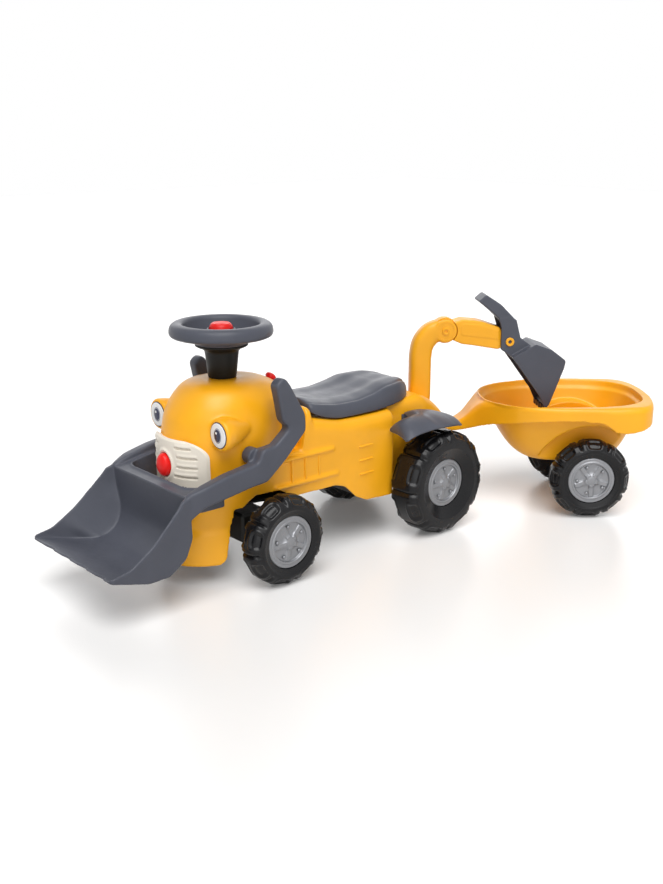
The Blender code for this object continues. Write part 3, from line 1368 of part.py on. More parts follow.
def stand_in_middle(root):
    """Moves the whole model so that its footprint's middle is the origin."""
    bpy.context.view_layer.update()
    depsgraph = bpy.context.evaluated_depsgraph_get()
    low = Vector((1e9, 1e9, 1e9))
    high = -low
    for item in Shop.parts.objects:
        if item.type != "MESH":
            continue
        solid = item.evaluated_get(depsgraph)
        mesh = solid.to_mesh()
        for vertex in mesh.vertices:
            point = solid.matrix_world @ vertex.co
            low = Vector(map(min, low, point))
            high = Vector(map(max, high, point))
        solid.to_mesh_clear()
    root.location = (-(low.x + high.x) / 2, -(low.y + high.y) / 2, -low.z)
    print("front axle from the origin:", [round(value, 6) for value in root.location])
    print("overall size:", [round(value, 5) for value in high - low])


def main():
    clear_scene()
    make_collections()
    root = frame_at("front_axle_point")
    make_body(root)
    make_floor(root)
    make_grille(root)
    make_eyes(root)
    make_seat(root)
    make_front_end(root)
    make_rear_axle(root)
    make_fenders(root)
    make_loader(root)
    make_mast(root)
    make_trailer(root)
    stand_in_middle(root)


main()
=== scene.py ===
"""Looks of a child's ride-on backhoe tractor with its hitched trailer.

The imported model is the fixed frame. Each class below makes one sub-assembly of smooth moulded
pieces, in metres, in the tractor's own layout: the middle of the front axle is at x = 0, y = 0, the
tractor faces -Y and its left side is +X. Layout turns that into the frame's coordinates. Tables are
written in millimetres and pass through mm.
"""

from __future__ import annotations

import json
import logging
import math
from dataclasses import dataclass
from enum import Enum
from typing import Iterator, Sequence

import bmesh
import bpy
import numpy as np
from mathutils import Matrix, Vector

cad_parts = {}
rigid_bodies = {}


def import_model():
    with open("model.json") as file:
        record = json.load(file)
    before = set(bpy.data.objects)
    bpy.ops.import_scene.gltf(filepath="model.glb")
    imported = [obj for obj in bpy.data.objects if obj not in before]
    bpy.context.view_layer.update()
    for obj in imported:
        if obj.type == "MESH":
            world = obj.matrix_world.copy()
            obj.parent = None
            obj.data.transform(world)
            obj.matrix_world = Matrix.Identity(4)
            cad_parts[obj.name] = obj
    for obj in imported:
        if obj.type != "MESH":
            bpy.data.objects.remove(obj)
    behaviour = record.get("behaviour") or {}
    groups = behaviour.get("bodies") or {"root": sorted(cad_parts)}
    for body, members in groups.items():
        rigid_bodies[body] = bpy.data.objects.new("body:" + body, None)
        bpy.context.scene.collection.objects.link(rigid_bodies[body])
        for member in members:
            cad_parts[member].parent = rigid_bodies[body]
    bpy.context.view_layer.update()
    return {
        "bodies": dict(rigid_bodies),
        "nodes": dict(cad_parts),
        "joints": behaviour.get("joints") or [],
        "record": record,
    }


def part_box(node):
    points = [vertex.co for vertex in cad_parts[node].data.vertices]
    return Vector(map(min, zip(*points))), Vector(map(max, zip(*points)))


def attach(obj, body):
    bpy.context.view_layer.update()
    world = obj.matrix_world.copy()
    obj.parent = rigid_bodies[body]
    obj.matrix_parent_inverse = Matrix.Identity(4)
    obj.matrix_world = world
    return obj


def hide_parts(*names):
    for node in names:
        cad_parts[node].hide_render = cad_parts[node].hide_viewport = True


log = logging.getLogger("ride_on_tractor")

Mesh = bpy.types.Mesh
Tree = bpy.types.NodeTree
Socket = bpy.types.NodeSocket
Row = Sequence[float]
Table = tuple[Row, ...]

SIDES = (("left", 1), ("right", -1))
WHEEL_Z = 0.0775
STEERING_Y = -0.022
BUMP_DEPTH = 0.0004
# Noise patterns of the finishes: features to the metre, and detail
HANDLING = (55.0, 4.0)
DRIFT = (14.0, 3.0)
FLAKES = (2600.0, 1.0)


def mm(*rows: Row) -> Table:
    """Rows given in millimetres, as metres."""
    return tuple(tuple(round(value / 1000, 7) for value in row) for row in rows)


def feed(tree: Tree, target: bpy.types.Node, inputs: dict[str | int, object]) -> None:
    """Gives a node's inputs their values, or a link where the value is a socket."""
    for name, value in inputs.items():
        if isinstance(value, Socket):
            tree.links.new(value, target.inputs[name])
        else:
            target.inputs[name].default_value = value


def node(
    tree: Tree, kind: str, output: str, inputs: dict[str | int, object] | None = None, **settings: str
) -> Socket:
    """The named output of a new node, which has the settings and inputs given."""
    made = tree.nodes.new(kind)
    for name, value in settings.items():
        setattr(made, name, value)
    feed(tree, made, inputs or {})
    return made.outputs[output]


def placed(name: str, data: bpy.types.ID) -> bpy.types.Object:
    """A new object in the scene."""
    item = bpy.data.objects.new(name, data)
    bpy.context.scene.collection.objects.link(item)
    return item


class Texture(Enum):
    """How a moulded or metal surface is grained."""

    SATIN = "satin"
    GRAIN = "grain"
    GLOSS = "gloss"
    FLAKE = "flake"
    BRUSHED = "brushed"


@dataclass(frozen=True)
class Finish:
    """One finish: its colour, its gloss and the scale of its detail."""

    name: str
    slot: str
    colour: tuple[float, float, float]
    roughness: float
    texture: Texture
    scale: float
    bump: float = 0.12
    variation: float = 0.05
    metallic: float = 0.0
    ior: float = 1.46

    def material(self) -> bpy.types.Material:
        """The finish as a node material, made once."""
        ready = bpy.data.materials.get(self.name)
        if ready is not None:
            return ready
        material = bpy.data.materials.new(self.name)
        material.use_nodes = True
        tree = material.node_tree
        place = node(tree, "ShaderNodeTexCoord", "Object")
        if self.texture is Texture.BRUSHED:
            place = node(tree, "ShaderNodeMapping", "Vector", {"Vector": place, "Scale": (0.04, 1.0, 1.0)})
        marks = (self.roughness - 0.05, self.roughness + 0.05)
        inputs = {
            "Metallic": self.metallic,
            "IOR": self.ior,
            "Base Color": self._colour(tree, place),
            "Roughness": self._noise(tree, place, *HANDLING, marks),
            "Normal": self._relief(tree, place),
        }
        feed(tree, tree.nodes["Principled BSDF"], inputs)
        return material

    def _noise(self, tree: Tree, place: Socket, scale: float, detail: float, span: Row = ()) -> Socket:
        """A noise pattern of a scale and detail, its middle stretched over a span if one is given."""
        value = node(tree, "ShaderNodeTexNoise", "Fac", {"Vector": place, "Scale": scale, "Detail": detail})
        if not span:
            return value
        limits = dict(zip(("From Min", "From Max", "To Min", "To Max"), (0.3, 0.7, *span)))
        return node(tree, "ShaderNodeMapRange", "Result", {"Value": value, **limits})

    def _colour(self, tree: Tree, place: Socket) -> Socket:
        """Slow drift in the pigment, or fine flakes where the plastic has them."""
        scale, detail = FLAKES if self.texture is Texture.FLAKE else DRIFT
        dark = 1.0 - self.variation
        low, high = ((*(min(1.0, c * share) for c in self.colour), 1.0) for share in (dark, 2.0 - dark))
        drift = self._noise(tree, place, scale, detail, (0.0, 1.0))
        return node(tree, "ShaderNodeMix", "Result", {"A": low, "B": high, "Factor": drift}, data_type="RGBA")

    def _relief(self, tree: Tree, place: Socket) -> Socket:
        """The mould's own texture, as a fine bump."""
        if self.texture is Texture.GRAIN:
            inputs = {"Vector": place, "Scale": self.scale}
            height = node(tree, "ShaderNodeTexVoronoi", "Distance", inputs, feature="SMOOTH_F1")
        else:
            height = self._noise(tree, place, self.scale, 2.0)
        inputs = {"Strength": self.bump, "Distance": BUMP_DEPTH, "Height": height}
        return node(tree, "ShaderNodeBump", "Normal", inputs)


YELLOW = Finish("yellow_moulded_plastic", "yellow", (0.93, 0.42, 0.008), 0.38, Texture.SATIN, 420.0, 0.08)
SLATE = Finish(
    "slate_moulded_plastic", "slate", (0.076, 0.081, 0.102), 0.38, Texture.GRAIN, 1500.0, 0.10, 0.08, ior=1.33
)
BLACK = Finish("black_moulded_plastic", "black", (0.008, 0.008, 0.007), 0.42, Texture.SATIN, 700.0, ior=1.30)
TYRE_BLACK = Finish(
    "black_glossy_tyre_plastic", "tyre_black", (0.006, 0.006, 0.007), 0.24, Texture.GLOSS, 240.0, 0.03, ior=1.34
)
SILVER = Finish(
    "silver_pigmented_plastic", "silver", (0.25, 0.255, 0.27), 0.34, Texture.FLAKE, 900.0, 0.12, 0.16, 0.55
)
CREAM = Finish("cream_moulded_plastic", "cream", (0.80, 0.74, 0.64), 0.38, Texture.SATIN, 600.0)
WHITE = Finish("white_lamp_plastic", "white", (0.86, 0.86, 0.86), 0.30, Texture.GLOSS, 500.0, 0.05)
GREY = Finish("grey_lamp_ring", "white", (0.30, 0.31, 0.36), 0.35, Texture.GLOSS, 500.0, 0.05)
NAVY = Finish("navy_lamp_plastic", "navy", (0.012, 0.014, 0.055), 0.22, Texture.GLOSS, 500.0, 0.05)
RED = Finish("red_glossy_plastic", "red", (0.80, 0.012, 0.010), 0.34, Texture.GLOSS, 450.0, 0.08, ior=1.34)
STEEL = Finish("plated_steel", "steel", (0.55, 0.56, 0.58), 0.30, Texture.BRUSHED, 1400.0, 0.20, metallic=1.0)
FINISHES = {
    finish.slot: finish
    for finish in (YELLOW, SLATE, BLACK, TYRE_BLACK, SILVER, CREAM, WHITE, NAVY, RED, STEEL)
}


class Frame(Enum):
    """The group whose own axes a piece is drawn in."""

    TRACTOR = (0.0, 0.0)
    MAST = (0.457, 36.0)
    TRAILER = (0.512, 39.6)

    def __init__(self, along: float, yaw: float) -> None:
        """Takes how far back the group's own axes stand, and their turn in degrees."""
        self.along = along
        self.yaw = yaw

    def matrix(self) -> Matrix:
        """From the group's axes to the tractor's layout."""
        return moved(0.0, self.along, 0.0) @ spun(-self.yaw, "Z")


class Layout:
    """Puts finished meshes in the frame's coordinates, dresses them and hangs them on their bodies."""

    def __init__(self) -> None:
        """Finds the front axle, the layout's origin, in the frame."""
        low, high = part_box("front_axle")
        self.origin = Vector(((low.x + high.x) / 2, (low.y + high.y) / 2, 0.0))

    def put(
        self,
        name: str,
        mesh: Mesh,
        finish: Finish,
        body: str,
        nodes: Sequence[str] = (),
        frame: Frame = Frame.TRACTOR,
        crease: float = 38.0,
    ) -> None:
        """Makes a mesh a finished piece of the part.

        Args:
            name: The piece's name.
            mesh: Its mesh, drawn in its frame.
            finish: What it is made of.
            body: The body of the frame model that it moves with.
            nodes: The nodes that it stands for.
            frame: The axes that the mesh is drawn in.
            crease: The angle in degrees above which an edge stays sharp.
        """
        mesh.transform(Matrix.Translation(self.origin) @ frame.matrix())
        mesh.name = name
        item = placed(name, mesh)
        mesh.materials.clear()
        mesh.materials.append(finish.material())
        mesh.shade_smooth()
        mesh.set_sharp_from_angle(angle=math.radians(crease))
        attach(item, body)
        if nodes:
            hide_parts(*nodes)
        log.info("%-24s %7d faces on %s", name, len(mesh.polygons), body)


# Shape tools


def monotone(table: Sequence[Row], keys: np.ndarray) -> np.ndarray:
    """Rows between a table's own rows, on smooth curves that never overshoot.

    Args:
        table: Rows whose first number is the key, in rising order.
        keys: The keys wanted.

    Returns:
        One row for each key, without the key.
    """
    data = np.asarray(table, float)
    x, y = data[:, 0], data[:, 1:]
    step = np.diff(x)[:, None]
    slope = np.diff(y, axis=0) / step
    tangent = np.zeros_like(y)
    before, after = slope[:-1], slope[1:]
    same = before * after > 0
    total = np.where(same, before + after, 1.0)
    tangent[1:-1] = np.where(same, 2 * before * after / total, 0.0)
    tangent[0], tangent[-1] = slope[0], slope[-1]
    at = np.clip(np.searchsorted(x, keys) - 1, 0, len(x) - 2)
    t = np.clip((keys - x[at]) / (x[at + 1] - x[at]), 0.0, 1.0)[:, None]
    h = step[at]
    first = (2 * t**3 - 3 * t**2 + 1) * y[at] + (t**3 - 2 * t**2 + t) * h * tangent[at]
    return first + (3 * t**2 - 2 * t**3) * y[at + 1] + (t**3 - t**2) * h * tangent[at + 1]


def between(table: Table, keys: np.ndarray) -> Iterator[tuple[float, ...]]:
    """Each key with its row between the table's rows."""
    return zip(keys, *monotone(table, keys).T)


def spread_over(*spans: tuple[float, float, int]) -> np.ndarray:
    """Rising keys, evenly spaced in each span from, to and how many."""
    return np.unique(np.concatenate([np.linspace(*span) for span in spans]))


def eased(low: float, high: float, count: int) -> np.ndarray:
    """Values from low to high that lie closer together at both ends."""
    return low + (high - low) * (0.5 - 0.5 * np.cos(np.linspace(0.0, math.pi, count)))


def circle(count: int) -> np.ndarray:
    """Evenly spaced angles round a full turn."""
    return np.linspace(0.0, 2 * math.pi, count, endpoint=False)


def squared(value: np.ndarray, power: float) -> np.ndarray:
    """Sines or cosines raised to a power, with their signs kept."""
    return np.sign(value) * np.abs(value) ** power


def run(line: np.ndarray) -> np.ndarray:
    """The length along a line at each of its points."""
    return np.concatenate([[0.0], np.cumsum(np.linalg.norm(np.diff(line, axis=0), axis=1))])


def through(points: Sequence[Row], count: int) -> np.ndarray:
    """A smooth line through the points, evenly spaced along its length."""
    p = np.asarray(points, float)
    padded = np.vstack([2 * p[0] - p[1], p, 2 * p[-1] - p[-2]])
    line = []
    for a, b, c, d in zip(padded, padded[1:], padded[2:], padded[3:]):
        for t in np.linspace(0.0, 1.0, 12, endpoint=False):
            curve = (c - a) * t + (2 * a - 5 * b + 4 * c - d) * t**2 + (3 * b - a - 3 * c + d) * t**3
            line.append(0.5 * (2 * b + curve))
    line = np.array(line + [p[-1]])
    length = run(line)
    wanted = np.linspace(0.0, length[-1], count)
    return np.stack([np.interp(wanted, length, column) for column in line.T], axis=1)


def step_up(value: float | np.ndarray, low: float, high: float) -> float | np.ndarray:
    """0 below low, 1 above high, and a smooth rise between."""
    t = np.clip((value - low) / (high - low), 0.0, 1.0)
    return t * t * (3 - 2 * t)


def at_y(points: Sequence[Row], y: float) -> np.ndarray:
    """A ring of (x, z) points set at one y."""
    return np.insert(np.asarray(points, float), 1, y, axis=1)


def mirrored(half: np.ndarray, shared: int = 0) -> np.ndarray:
    """Half an outline of (x, z) points, and its mirror image without the points that both share."""
    return np.vstack([half, half[::-1][shared:] * np.array([-1, 1])])


def skin(rows: Sequence[np.ndarray], wrap: bool = True, caps: bool = True, ring: bool = False) -> Mesh:
    """A mesh of quads over a grid of points.

    Args:
        rows: Points as rows x columns x 3.
        wrap: Whether each row closes on itself.
        caps: Whether the first and last rows are filled.
        ring: Whether the last row joins the first.

    Returns:
        The mesh, its faces pointing out where it is closed.
    """
    points = np.array(rows)
    index = np.arange(points.shape[0] * points.shape[1]).reshape(points.shape[:2])
    grid = np.vstack([index, index[:1]]) if ring else index
    if wrap:
        grid = np.hstack([grid, grid[:, :1]])
    corners = (grid[:-1, :-1], grid[:-1, 1:], grid[1:, 1:], grid[1:, :-1])
    faces = np.stack(corners, axis=-1).reshape(-1, 4).tolist()
    if caps and wrap:
        faces += [index[0].tolist(), index[-1].tolist()]
    mesh = bpy.data.meshes.new("skin")
    mesh.from_pydata(points.reshape(-1, 3).tolist(), [], faces)
    return outward(mesh)


def outward(mesh: Mesh) -> Mesh:
    """The mesh with doubled points merged and its faces turned outwards."""
    work = bmesh.new()
    work.from_mesh(mesh)
    bmesh.ops.remove_doubles(work, verts=work.verts, dist=1e-6)
    bmesh.ops.recalc_face_normals(work, faces=work.faces)
    work.to_mesh(mesh)
    work.free()
    return mesh


def turned(profile: Sequence[Row], steps: int = 64, scale: Row = (1.0, 1.0)) -> Mesh:
    """A closed turned shape about Z from (radius, height) points, each end on the axis or joined up."""
    line = np.asarray(profile, float)
    angle = circle(steps)
    ring = np.stack([np.cos(angle) * scale[0], np.sin(angle) * scale[1]], axis=-1)
    rows = [np.column_stack([radius * ring, np.full(steps, height)]) for radius, height in line]
    return skin(rows, caps=False, ring=line[0, 0] > 1e-6 and line[-1, 0] > 1e-6)


def oval(
    half: float, front: float, back: float, z: float, count: int, power: float = 2.1, middle: float = -0.030
) -> np.ndarray:
    """A level rounded ring with its own reach to the front, the back and each side."""
    c, s = np.cos(circle(count)), np.sin(circle(count))
    reach = np.where(s > 0, back - middle, middle - front)
    y = middle + reach * squared(s, 2 / power)
    return np.stack([half * squared(c, 2 / power), y, np.full(count, z)], axis=-1)


def rounded(points: Sequence[Row], steps: int = 8) -> list[Vector]:
    """An outline of (across, up, radius) points with each corner turned into an arc of its radius."""
    outline: list[Vector] = []
    for i, (*point, radius) in enumerate(points):
        here = Vector(point)
        back = Vector(points[i - 1][:2]) - here
        on = Vector(points[(i + 1) % len(points)][:2]) - here
        angle = back.angle(on)
        if radius <= 0 or angle > math.radians(176):
            outline.append(here)
            continue
        cut = min(radius / math.tan(angle / 2), back.length * 0.48, on.length * 0.48)
        start, end = here + back.normalized() * cut, here + on.normalized() * cut
        for t in (k / steps for k in range(steps + 1)):
            outline.append(start.lerp(here, t).lerp(here.lerp(end, t), t))
    return outline


def slab(outline: Sequence[Row], thickness: float, lay: Matrix) -> Mesh:
    """A flat outline given a thickness and laid by the matrix, its middle in the outline's plane."""
    work = bmesh.new()
    half = thickness / 2
    low, high = ([work.verts.new(lay @ Vector((p[0], p[1], z))) for p in outline] for z in (-half, half))
    work.faces.new(low)
    work.faces.new(high)
    for i in range(len(outline)):
        j = (i + 1) % len(outline)
        work.faces.new((low[i], low[j], high[j], high[i]))
    bmesh.ops.recalc_face_normals(work, faces=work.faces)
    return plain(work)


def plain(work: bmesh.types.BMesh) -> Mesh:
    """The working mesh as a plain one."""
    mesh = bpy.data.meshes.new("plain")
    work.to_mesh(mesh)
    work.free()
    return mesh


def moved(x: float, y: float, z: float) -> Matrix:
    """A shift by x, y and z."""
    return Matrix.Translation((x, y, z))


def spun(angle: float, axis: str) -> Matrix:
    """A turn by an angle in degrees about one of the three axes."""
    return Matrix.Rotation(math.radians(angle), 4, axis)


def across(x: float) -> Matrix:
    """Lays an outline of (y, z) points in the YZ plane at x."""
    return Matrix(((0, 0, 1, x), (1, 0, 0, 0), (0, 1, 0, 0), (0, 0, 0, 1)))


def facing(y: float) -> Matrix:
    """Lays an outline of (x, z) points in the XZ plane at y."""
    return Matrix(((1, 0, 0, 0), (0, 0, 1, y), (0, 1, 0, 0), (0, 0, 0, 1)))


def box(low: Row, high: Row) -> Mesh:
    """A box between two corners."""
    outline = ((low[0], low[1]), (high[0], low[1]), (high[0], high[1]), (low[0], high[1]))
    return slab(outline, high[2] - low[2], moved(0, 0, (low[2] + high[2]) / 2))


def rod(radius: float, start: Row, end: Row, sides: int = 64) -> Mesh:
    """A round rod between two points."""
    a, b = Vector(start), Vector(end)
    mesh = turned(((0, 0), (radius, 0), (radius, (b - a).length), (0, (b - a).length)), sides)
    mesh.transform(Matrix.Translation(a) @ (b - a).to_track_quat("Z", "Y").to_matrix().to_4x4())
    return mesh


def axle(radius: float, start: float, end: float, place: Row, sides: int = 64) -> Mesh:
    """A round rod along X from one x to another, at a (y, z) place."""
    return rod(radius, (start, *place), (end, *place), sides)


def dome(radius: float, base: float, rise: float, count: int) -> list[tuple[float, float]]:
    """The (radius, height) points of a domed top, from the axis outwards."""
    return [(radius * math.sin(a), base + rise * math.cos(a)) for a in np.linspace(0.0, math.pi / 2, count)]


def raised(base: float, *rows: Row) -> list[tuple[float, float]]:
    """(radius, height) points given in millimetres, as metres above a base."""
    return [(radius, base + height) for radius, height in mm(*rows)]


def worked(mesh: Mesh, *steps: tuple[str, dict[str, object]]) -> Mesh:
    """The mesh after Blender modifiers, each given as its kind and its settings."""
    holder = placed(mesh.name, mesh)
    for kind, settings in steps:
        modifier = holder.modifiers.new(kind.lower(), kind)
        for key, value in settings.items():
            setattr(modifier, key, value)
    made = evaluated(holder)
    bpy.data.objects.remove(holder, do_unlink=True)
    bpy.data.meshes.remove(mesh)
    return made


def thickened(sheet: Mesh, thickness: float, axis: int, way: int, *more: tuple[str, dict[str, object]]) -> Mesh:
    """A sheet given a thickness behind the side that faces along an axis, then worked further."""
    if sum(face.normal[axis] for face in sheet.polygons) * way < 0:
        sheet.flip_normals()
    return worked(sheet, ("SOLIDIFY", {"thickness": thickness, "offset": -1.0}), *more)


def evaluated(item: bpy.types.Object) -> Mesh:
    """An object's mesh after its modifiers."""
    return bpy.data.meshes.new_from_object(item.evaluated_get(bpy.context.evaluated_depsgraph_get()))


def soft_edge(width: float, segments: int, angle: float) -> tuple[str, dict[str, object]]:
    """The step that rounds the edges sharper than an angle."""
    limit = {"limit_method": "ANGLE", "angle_limit": math.radians(angle)}
    return "BEVEL", {"width": width, "segments": segments, **limit}


def chamfered(mesh: Mesh, width: float, segments: int = 4, angle: float = 50.0) -> Mesh:
    """The mesh with its sharper edges rounded."""
    return worked(mesh, soft_edge(width, segments, angle))


def plate(
    outline: Table, thickness: float, edge: float, segments: int, angle: float = 50.0, x: float = 0.0
) -> Mesh:
    """A rounded outline of (y, z) points given a thickness about x, with its edges rounded too."""
    return chamfered(slab(rounded(outline), thickness, across(x)), edge, segments, angle)


def carved(mesh: Mesh, tools: Sequence[Mesh], operation: str = "DIFFERENCE") -> Mesh:
    """The mesh with closed shapes cut out of it or joined to it."""
    holders = [placed("tool", tool) for tool in tools]
    settings = {"operation": operation, "solver": "MANIFOLD"}
    made = worked(mesh, *(("BOOLEAN", {**settings, "object": holder}) for holder in holders))
    for holder, tool in zip(holders, tools):
        bpy.data.objects.remove(holder, do_unlink=True)
        bpy.data.meshes.remove(tool)
    return made


def melted(solids: Sequence[Mesh], voxel: float, rounds: int, keep: float = 1.0) -> Mesh:
    """Closed solids melted into one skin with soft corners, as blow moulding gives them.

    Args:
        solids: The closed shapes, which may overlap. They are used up.
        voxel: The grid's size in metres.
        rounds: How many times the skin is smoothed.
        keep: The share of the faces that is kept.

    Returns:
        The skin.
    """
    steps = [
        ("REMESH", {"mode": "VOXEL", "voxel_size": voxel, "use_smooth_shade": True}),
        ("SMOOTH", {"factor": 0.5, "iterations": rounds}),
    ]
    if keep < 1.0:
        steps.append(("DECIMATE", {"ratio": keep}))
    return worked(joined(solids), *steps)


def joined(meshes: Sequence[Mesh]) -> Mesh:
    """Several meshes as one. They are used up."""
    work = bmesh.new()
    for mesh in meshes:
        work.from_mesh(mesh)
        bpy.data.meshes.remove(mesh)
    return plain(work)


class Spread(Enum):
    """How a repeated detail is laid out."""

    ROW = "row"
    ROUND = "round"


def repeated(name: str, template: Mesh, spread: Spread, count: int, step: Row, finish: Finish) -> Mesh:
    """Copies of one small shape, laid out by a geometry node tree.

    Args:
        name: The layout's name.
        template: The shape that is repeated.
        spread: Along a row, or round the Z axis.
        count: How many there are.
        step: The offset from one to the next, or for a round its radius as the first number.
        finish: What they are made of.

    Returns:
        The copies as a plain mesh.
    """
    tree = bpy.data.node_groups.new(name + "_layout", "GeometryNodeTree")
    kinds = {"Geometry": "Geometry", "Detail": "Object", "Count": "Int", "Step": "Vector", "Finish": "Material"}
    sockets = {}
    for label, kind in kinds.items():
        sockets[label] = tree.interface.new_socket(label, in_out="INPUT", socket_type="NodeSocket" + kind)
    tree.interface.new_socket("Geometry", in_out="OUTPUT", socket_type="NodeSocketGeometry")
    given = tree.nodes.new("NodeGroupInput").outputs
    inputs = {"Instance": node(tree, "GeometryNodeObjectInfo", "Geometry", {"Object": given["Detail"]})}
    if spread is Spread.ROW:
        line = {"Offset": given["Step"], "Count": given["Count"]}
        inputs["Points"] = node(tree, "GeometryNodeMeshLine", "Mesh", line)
    else:
        radius = node(tree, "ShaderNodeSeparateXYZ", "X", {"Vector": given["Step"]})
        ring = {"Radius": radius, "Vertices": given["Count"]}
        inputs["Points"] = node(tree, "GeometryNodeMeshCircle", "Mesh", ring)
        share = node(tree, "ShaderNodeMath", "Value", {0: 2 * math.pi, 1: given["Count"]}, operation="DIVIDE")
        index = node(tree, "GeometryNodeInputIndex", "Index")
        turn = node(tree, "ShaderNodeMath", "Value", {0: index, 1: share}, operation="MULTIPLY")
        about = node(tree, "ShaderNodeCombineXYZ", "Vector", {"Z": turn})
        inputs["Rotation"] = node(tree, "FunctionNodeEulerToRotation", "Rotation", {"Euler": about})
    copies = node(tree, "GeometryNodeInstanceOnPoints", "Instances", inputs)
    real = node(tree, "GeometryNodeRealizeInstances", "Geometry", {"Geometry": copies})
    dressed = node(tree, "GeometryNodeSetMaterial", "Geometry", {"Geometry": real, "Material": given["Finish"]})
    feed(tree, tree.nodes.new("NodeGroupOutput"), {"Geometry": dressed})
    pattern, holder = placed("detail", template), placed(name, bpy.data.meshes.new(name))
    modifier = holder.modifiers.new("layout", "NODES")
    modifier.node_group = tree
    values = {"Detail": pattern, "Count": count, "Step": tuple(step), "Finish": finish.material()}
    for label, value in values.items():
        modifier[sockets[label].identifier] = value
    made = evaluated(holder)
    for item in (pattern, holder):
        bpy.data.objects.remove(item, do_unlink=True)
    return made


# Sub-assemblies


@dataclass
class BodyMoulding:
    """The one-piece yellow body: hood, lamp housings, ledges, pedestal and tail.

    The hood's rows are z, half width, front and back; the stations' are y, side, shoulder, top and crown;
    the lower edge's are y, z and radius; the pod's are its depth, its middle's x and its radius.
    """

    wall: float = 0.003
    shaft_bore: float = 0.0078
    mast_bore: float = 0.0224
    store: tuple[Row, Row] = ((-0.052, 0.165, 0.22), (0.052, 0.315, 0.30))
    hood: Table = mm(
        (34, 83.5, -148.5, 60), (83, 80.8, -143, 60), (90, 80, -141.2, 60), (96, 77.8, -136.6, 60),
        (106, 80, -136, 62), (180, 86.5, -135.5, 80), (240, 88, -134.5, 99), (278, 86.5, -127.5, 102),
        (300, 82, -116.5, 96), (318, 73, -103, 81), (330, 61, -90, 60), (336.5, 47, -76, 40),
        (339, 34, -62, 20),
    )
    stations: Table = mm(
        (-55, 76, 176, 67, 196), (0, 85.5, 192, 78, 205), (80, 89, 196, 81, 209),
        (91.5, 89.5, 256, 74, 280), (101, 89.8, 256, 74, 280), (104, 90, 236, 74, 259),
        (120, 91, 233, 74, 256), (178, 92.5, 221, 74, 244), (250, 93.5, 216, 75, 241.5),
        (296, 93.5, 216, 75, 242), (304, 66, 216, 56, 245), (350, 66, 216, 52, 249),
        (400, 66, 210, 48, 248), (430, 64, 197, 40, 237), (455, 61, 181, 34, 221), (478, 56, 165, 30, 201),
        (500, 50, 150, 26, 180),
    )
    lower_edge: Table = mm(
        (-74.5, 129, 10), (-45, 130, 10), (-20, 146, 14), (30, 146, 14), (60, 128, 12), (153, 128, 20),
        (177, 121, 20), (205, 95, 15), (230, 83.5, 15), (289, 80, 10), (430, 78, 20), (488.5, 131, 0),
        (488.5, 170, 0),
    )
    pod: Table = mm(
        (0, 89.5, 25.8), (2, 89.5, 27.2), (16, 87, 26.8), (30, 84, 23.5), (45, 81, 19), (77, 75, 8),
    )
    eye: tuple[float, float, float] = (0.0895, -0.097, 0.268)
    eye_radius: float = 0.0223

    def hood_solid(self, inset: float, top: float = 1.0) -> Mesh:
        """The upright hood, drawn in by the inset, up to a height."""
        heights = spread_over((self.hood[0][0], 0.27, 60), (0.27, self.hood[-1][0], 50))
        rings = []
        for z, half, front, back in between(self.hood, heights[heights <= top]):
            rings.append(oval(half - inset, front + inset, back - inset, z, 128))
        if inset > 0:
            rings[0][:, 2] = -0.02
        return skin(rings)

    def low_solid(self, inset: float) -> Mesh:
        """The ledges, the pedestal under the seat and the tail."""
        own = [row[0] for row in self.stations]
        keys = np.unique(np.concatenate([np.linspace(own[0], own[-1], 140), own]))
        t = np.linspace(0.0, 1.0, 9)[:, None]
        rings = []
        for y, side, shoulder, top, high in between(self.stations, keys):
            side, shoulder, top, high = side - inset, shoulder - inset * 0.5, top - inset * 0.6, high - inset
            a, b, c = np.array([[side, shoulder], [side, high], [top, high]])
            arc = (1 - t) ** 2 * a + 2 * t * (1 - t) * b + t**2 * c
            crown = [[top * 0.5, high + 0.0012], [0.0, high + 0.0016]]
            rings.append(at_y(mirrored(np.vstack([[[side, 0.05 - inset * 10]], arc, crown]), 1), y))
        return skin(rings)

    def pod_solid(self, sign: int) -> Mesh:
        """The round housing behind a lamp, which leans in and dies away into the hood."""
        c, s = np.cos(circle(64)), np.sin(circle(64))
        y0, z0 = self.eye[1:]
        rings = []
        for y, x, radius in between(self.pod, np.linspace(0.0, self.pod[-1][0], 30)):
            rings.append(at_y(np.column_stack([x * sign + radius * c, z0 + radius * s]), y0 + y))
        return skin(rings)

    def ledge_ridges(self) -> list[Mesh]:
        """The foot ledge's two long ridges on each side, soft once they are melted in."""
        solids = []
        for _, sign in SIDES:
            low, high = sorted((0.080 * sign, 0.0955 * sign))
            for z, y0, y1 in ((0.1985, 0.010, 0.150), (0.1510, 0.020, 0.160)):
                solids.append(box((low, y0, z - 0.0030), (high, y1, z + 0.0030)))
        return solids

    def below(self) -> Mesh:
        """What is cut away under the lower edge, with the skirt's back corner rounded."""
        corner, start, hem = 0.020, self.lower_edge[0][0], self.hood[0][0]
        outline = rounded(self.lower_edge + ((0.56, 0.17, 0), (0.56, -0.05, 0)))
        outline.append(Vector((start - corner, -0.05)))
        for a in np.linspace(0.0, math.pi / 2, 10):
            outline.append(Vector((start - corner * (1 - math.sin(a)), hem + corner * (1 - math.cos(a)))))
        return slab(outline, 0.4, across(0))

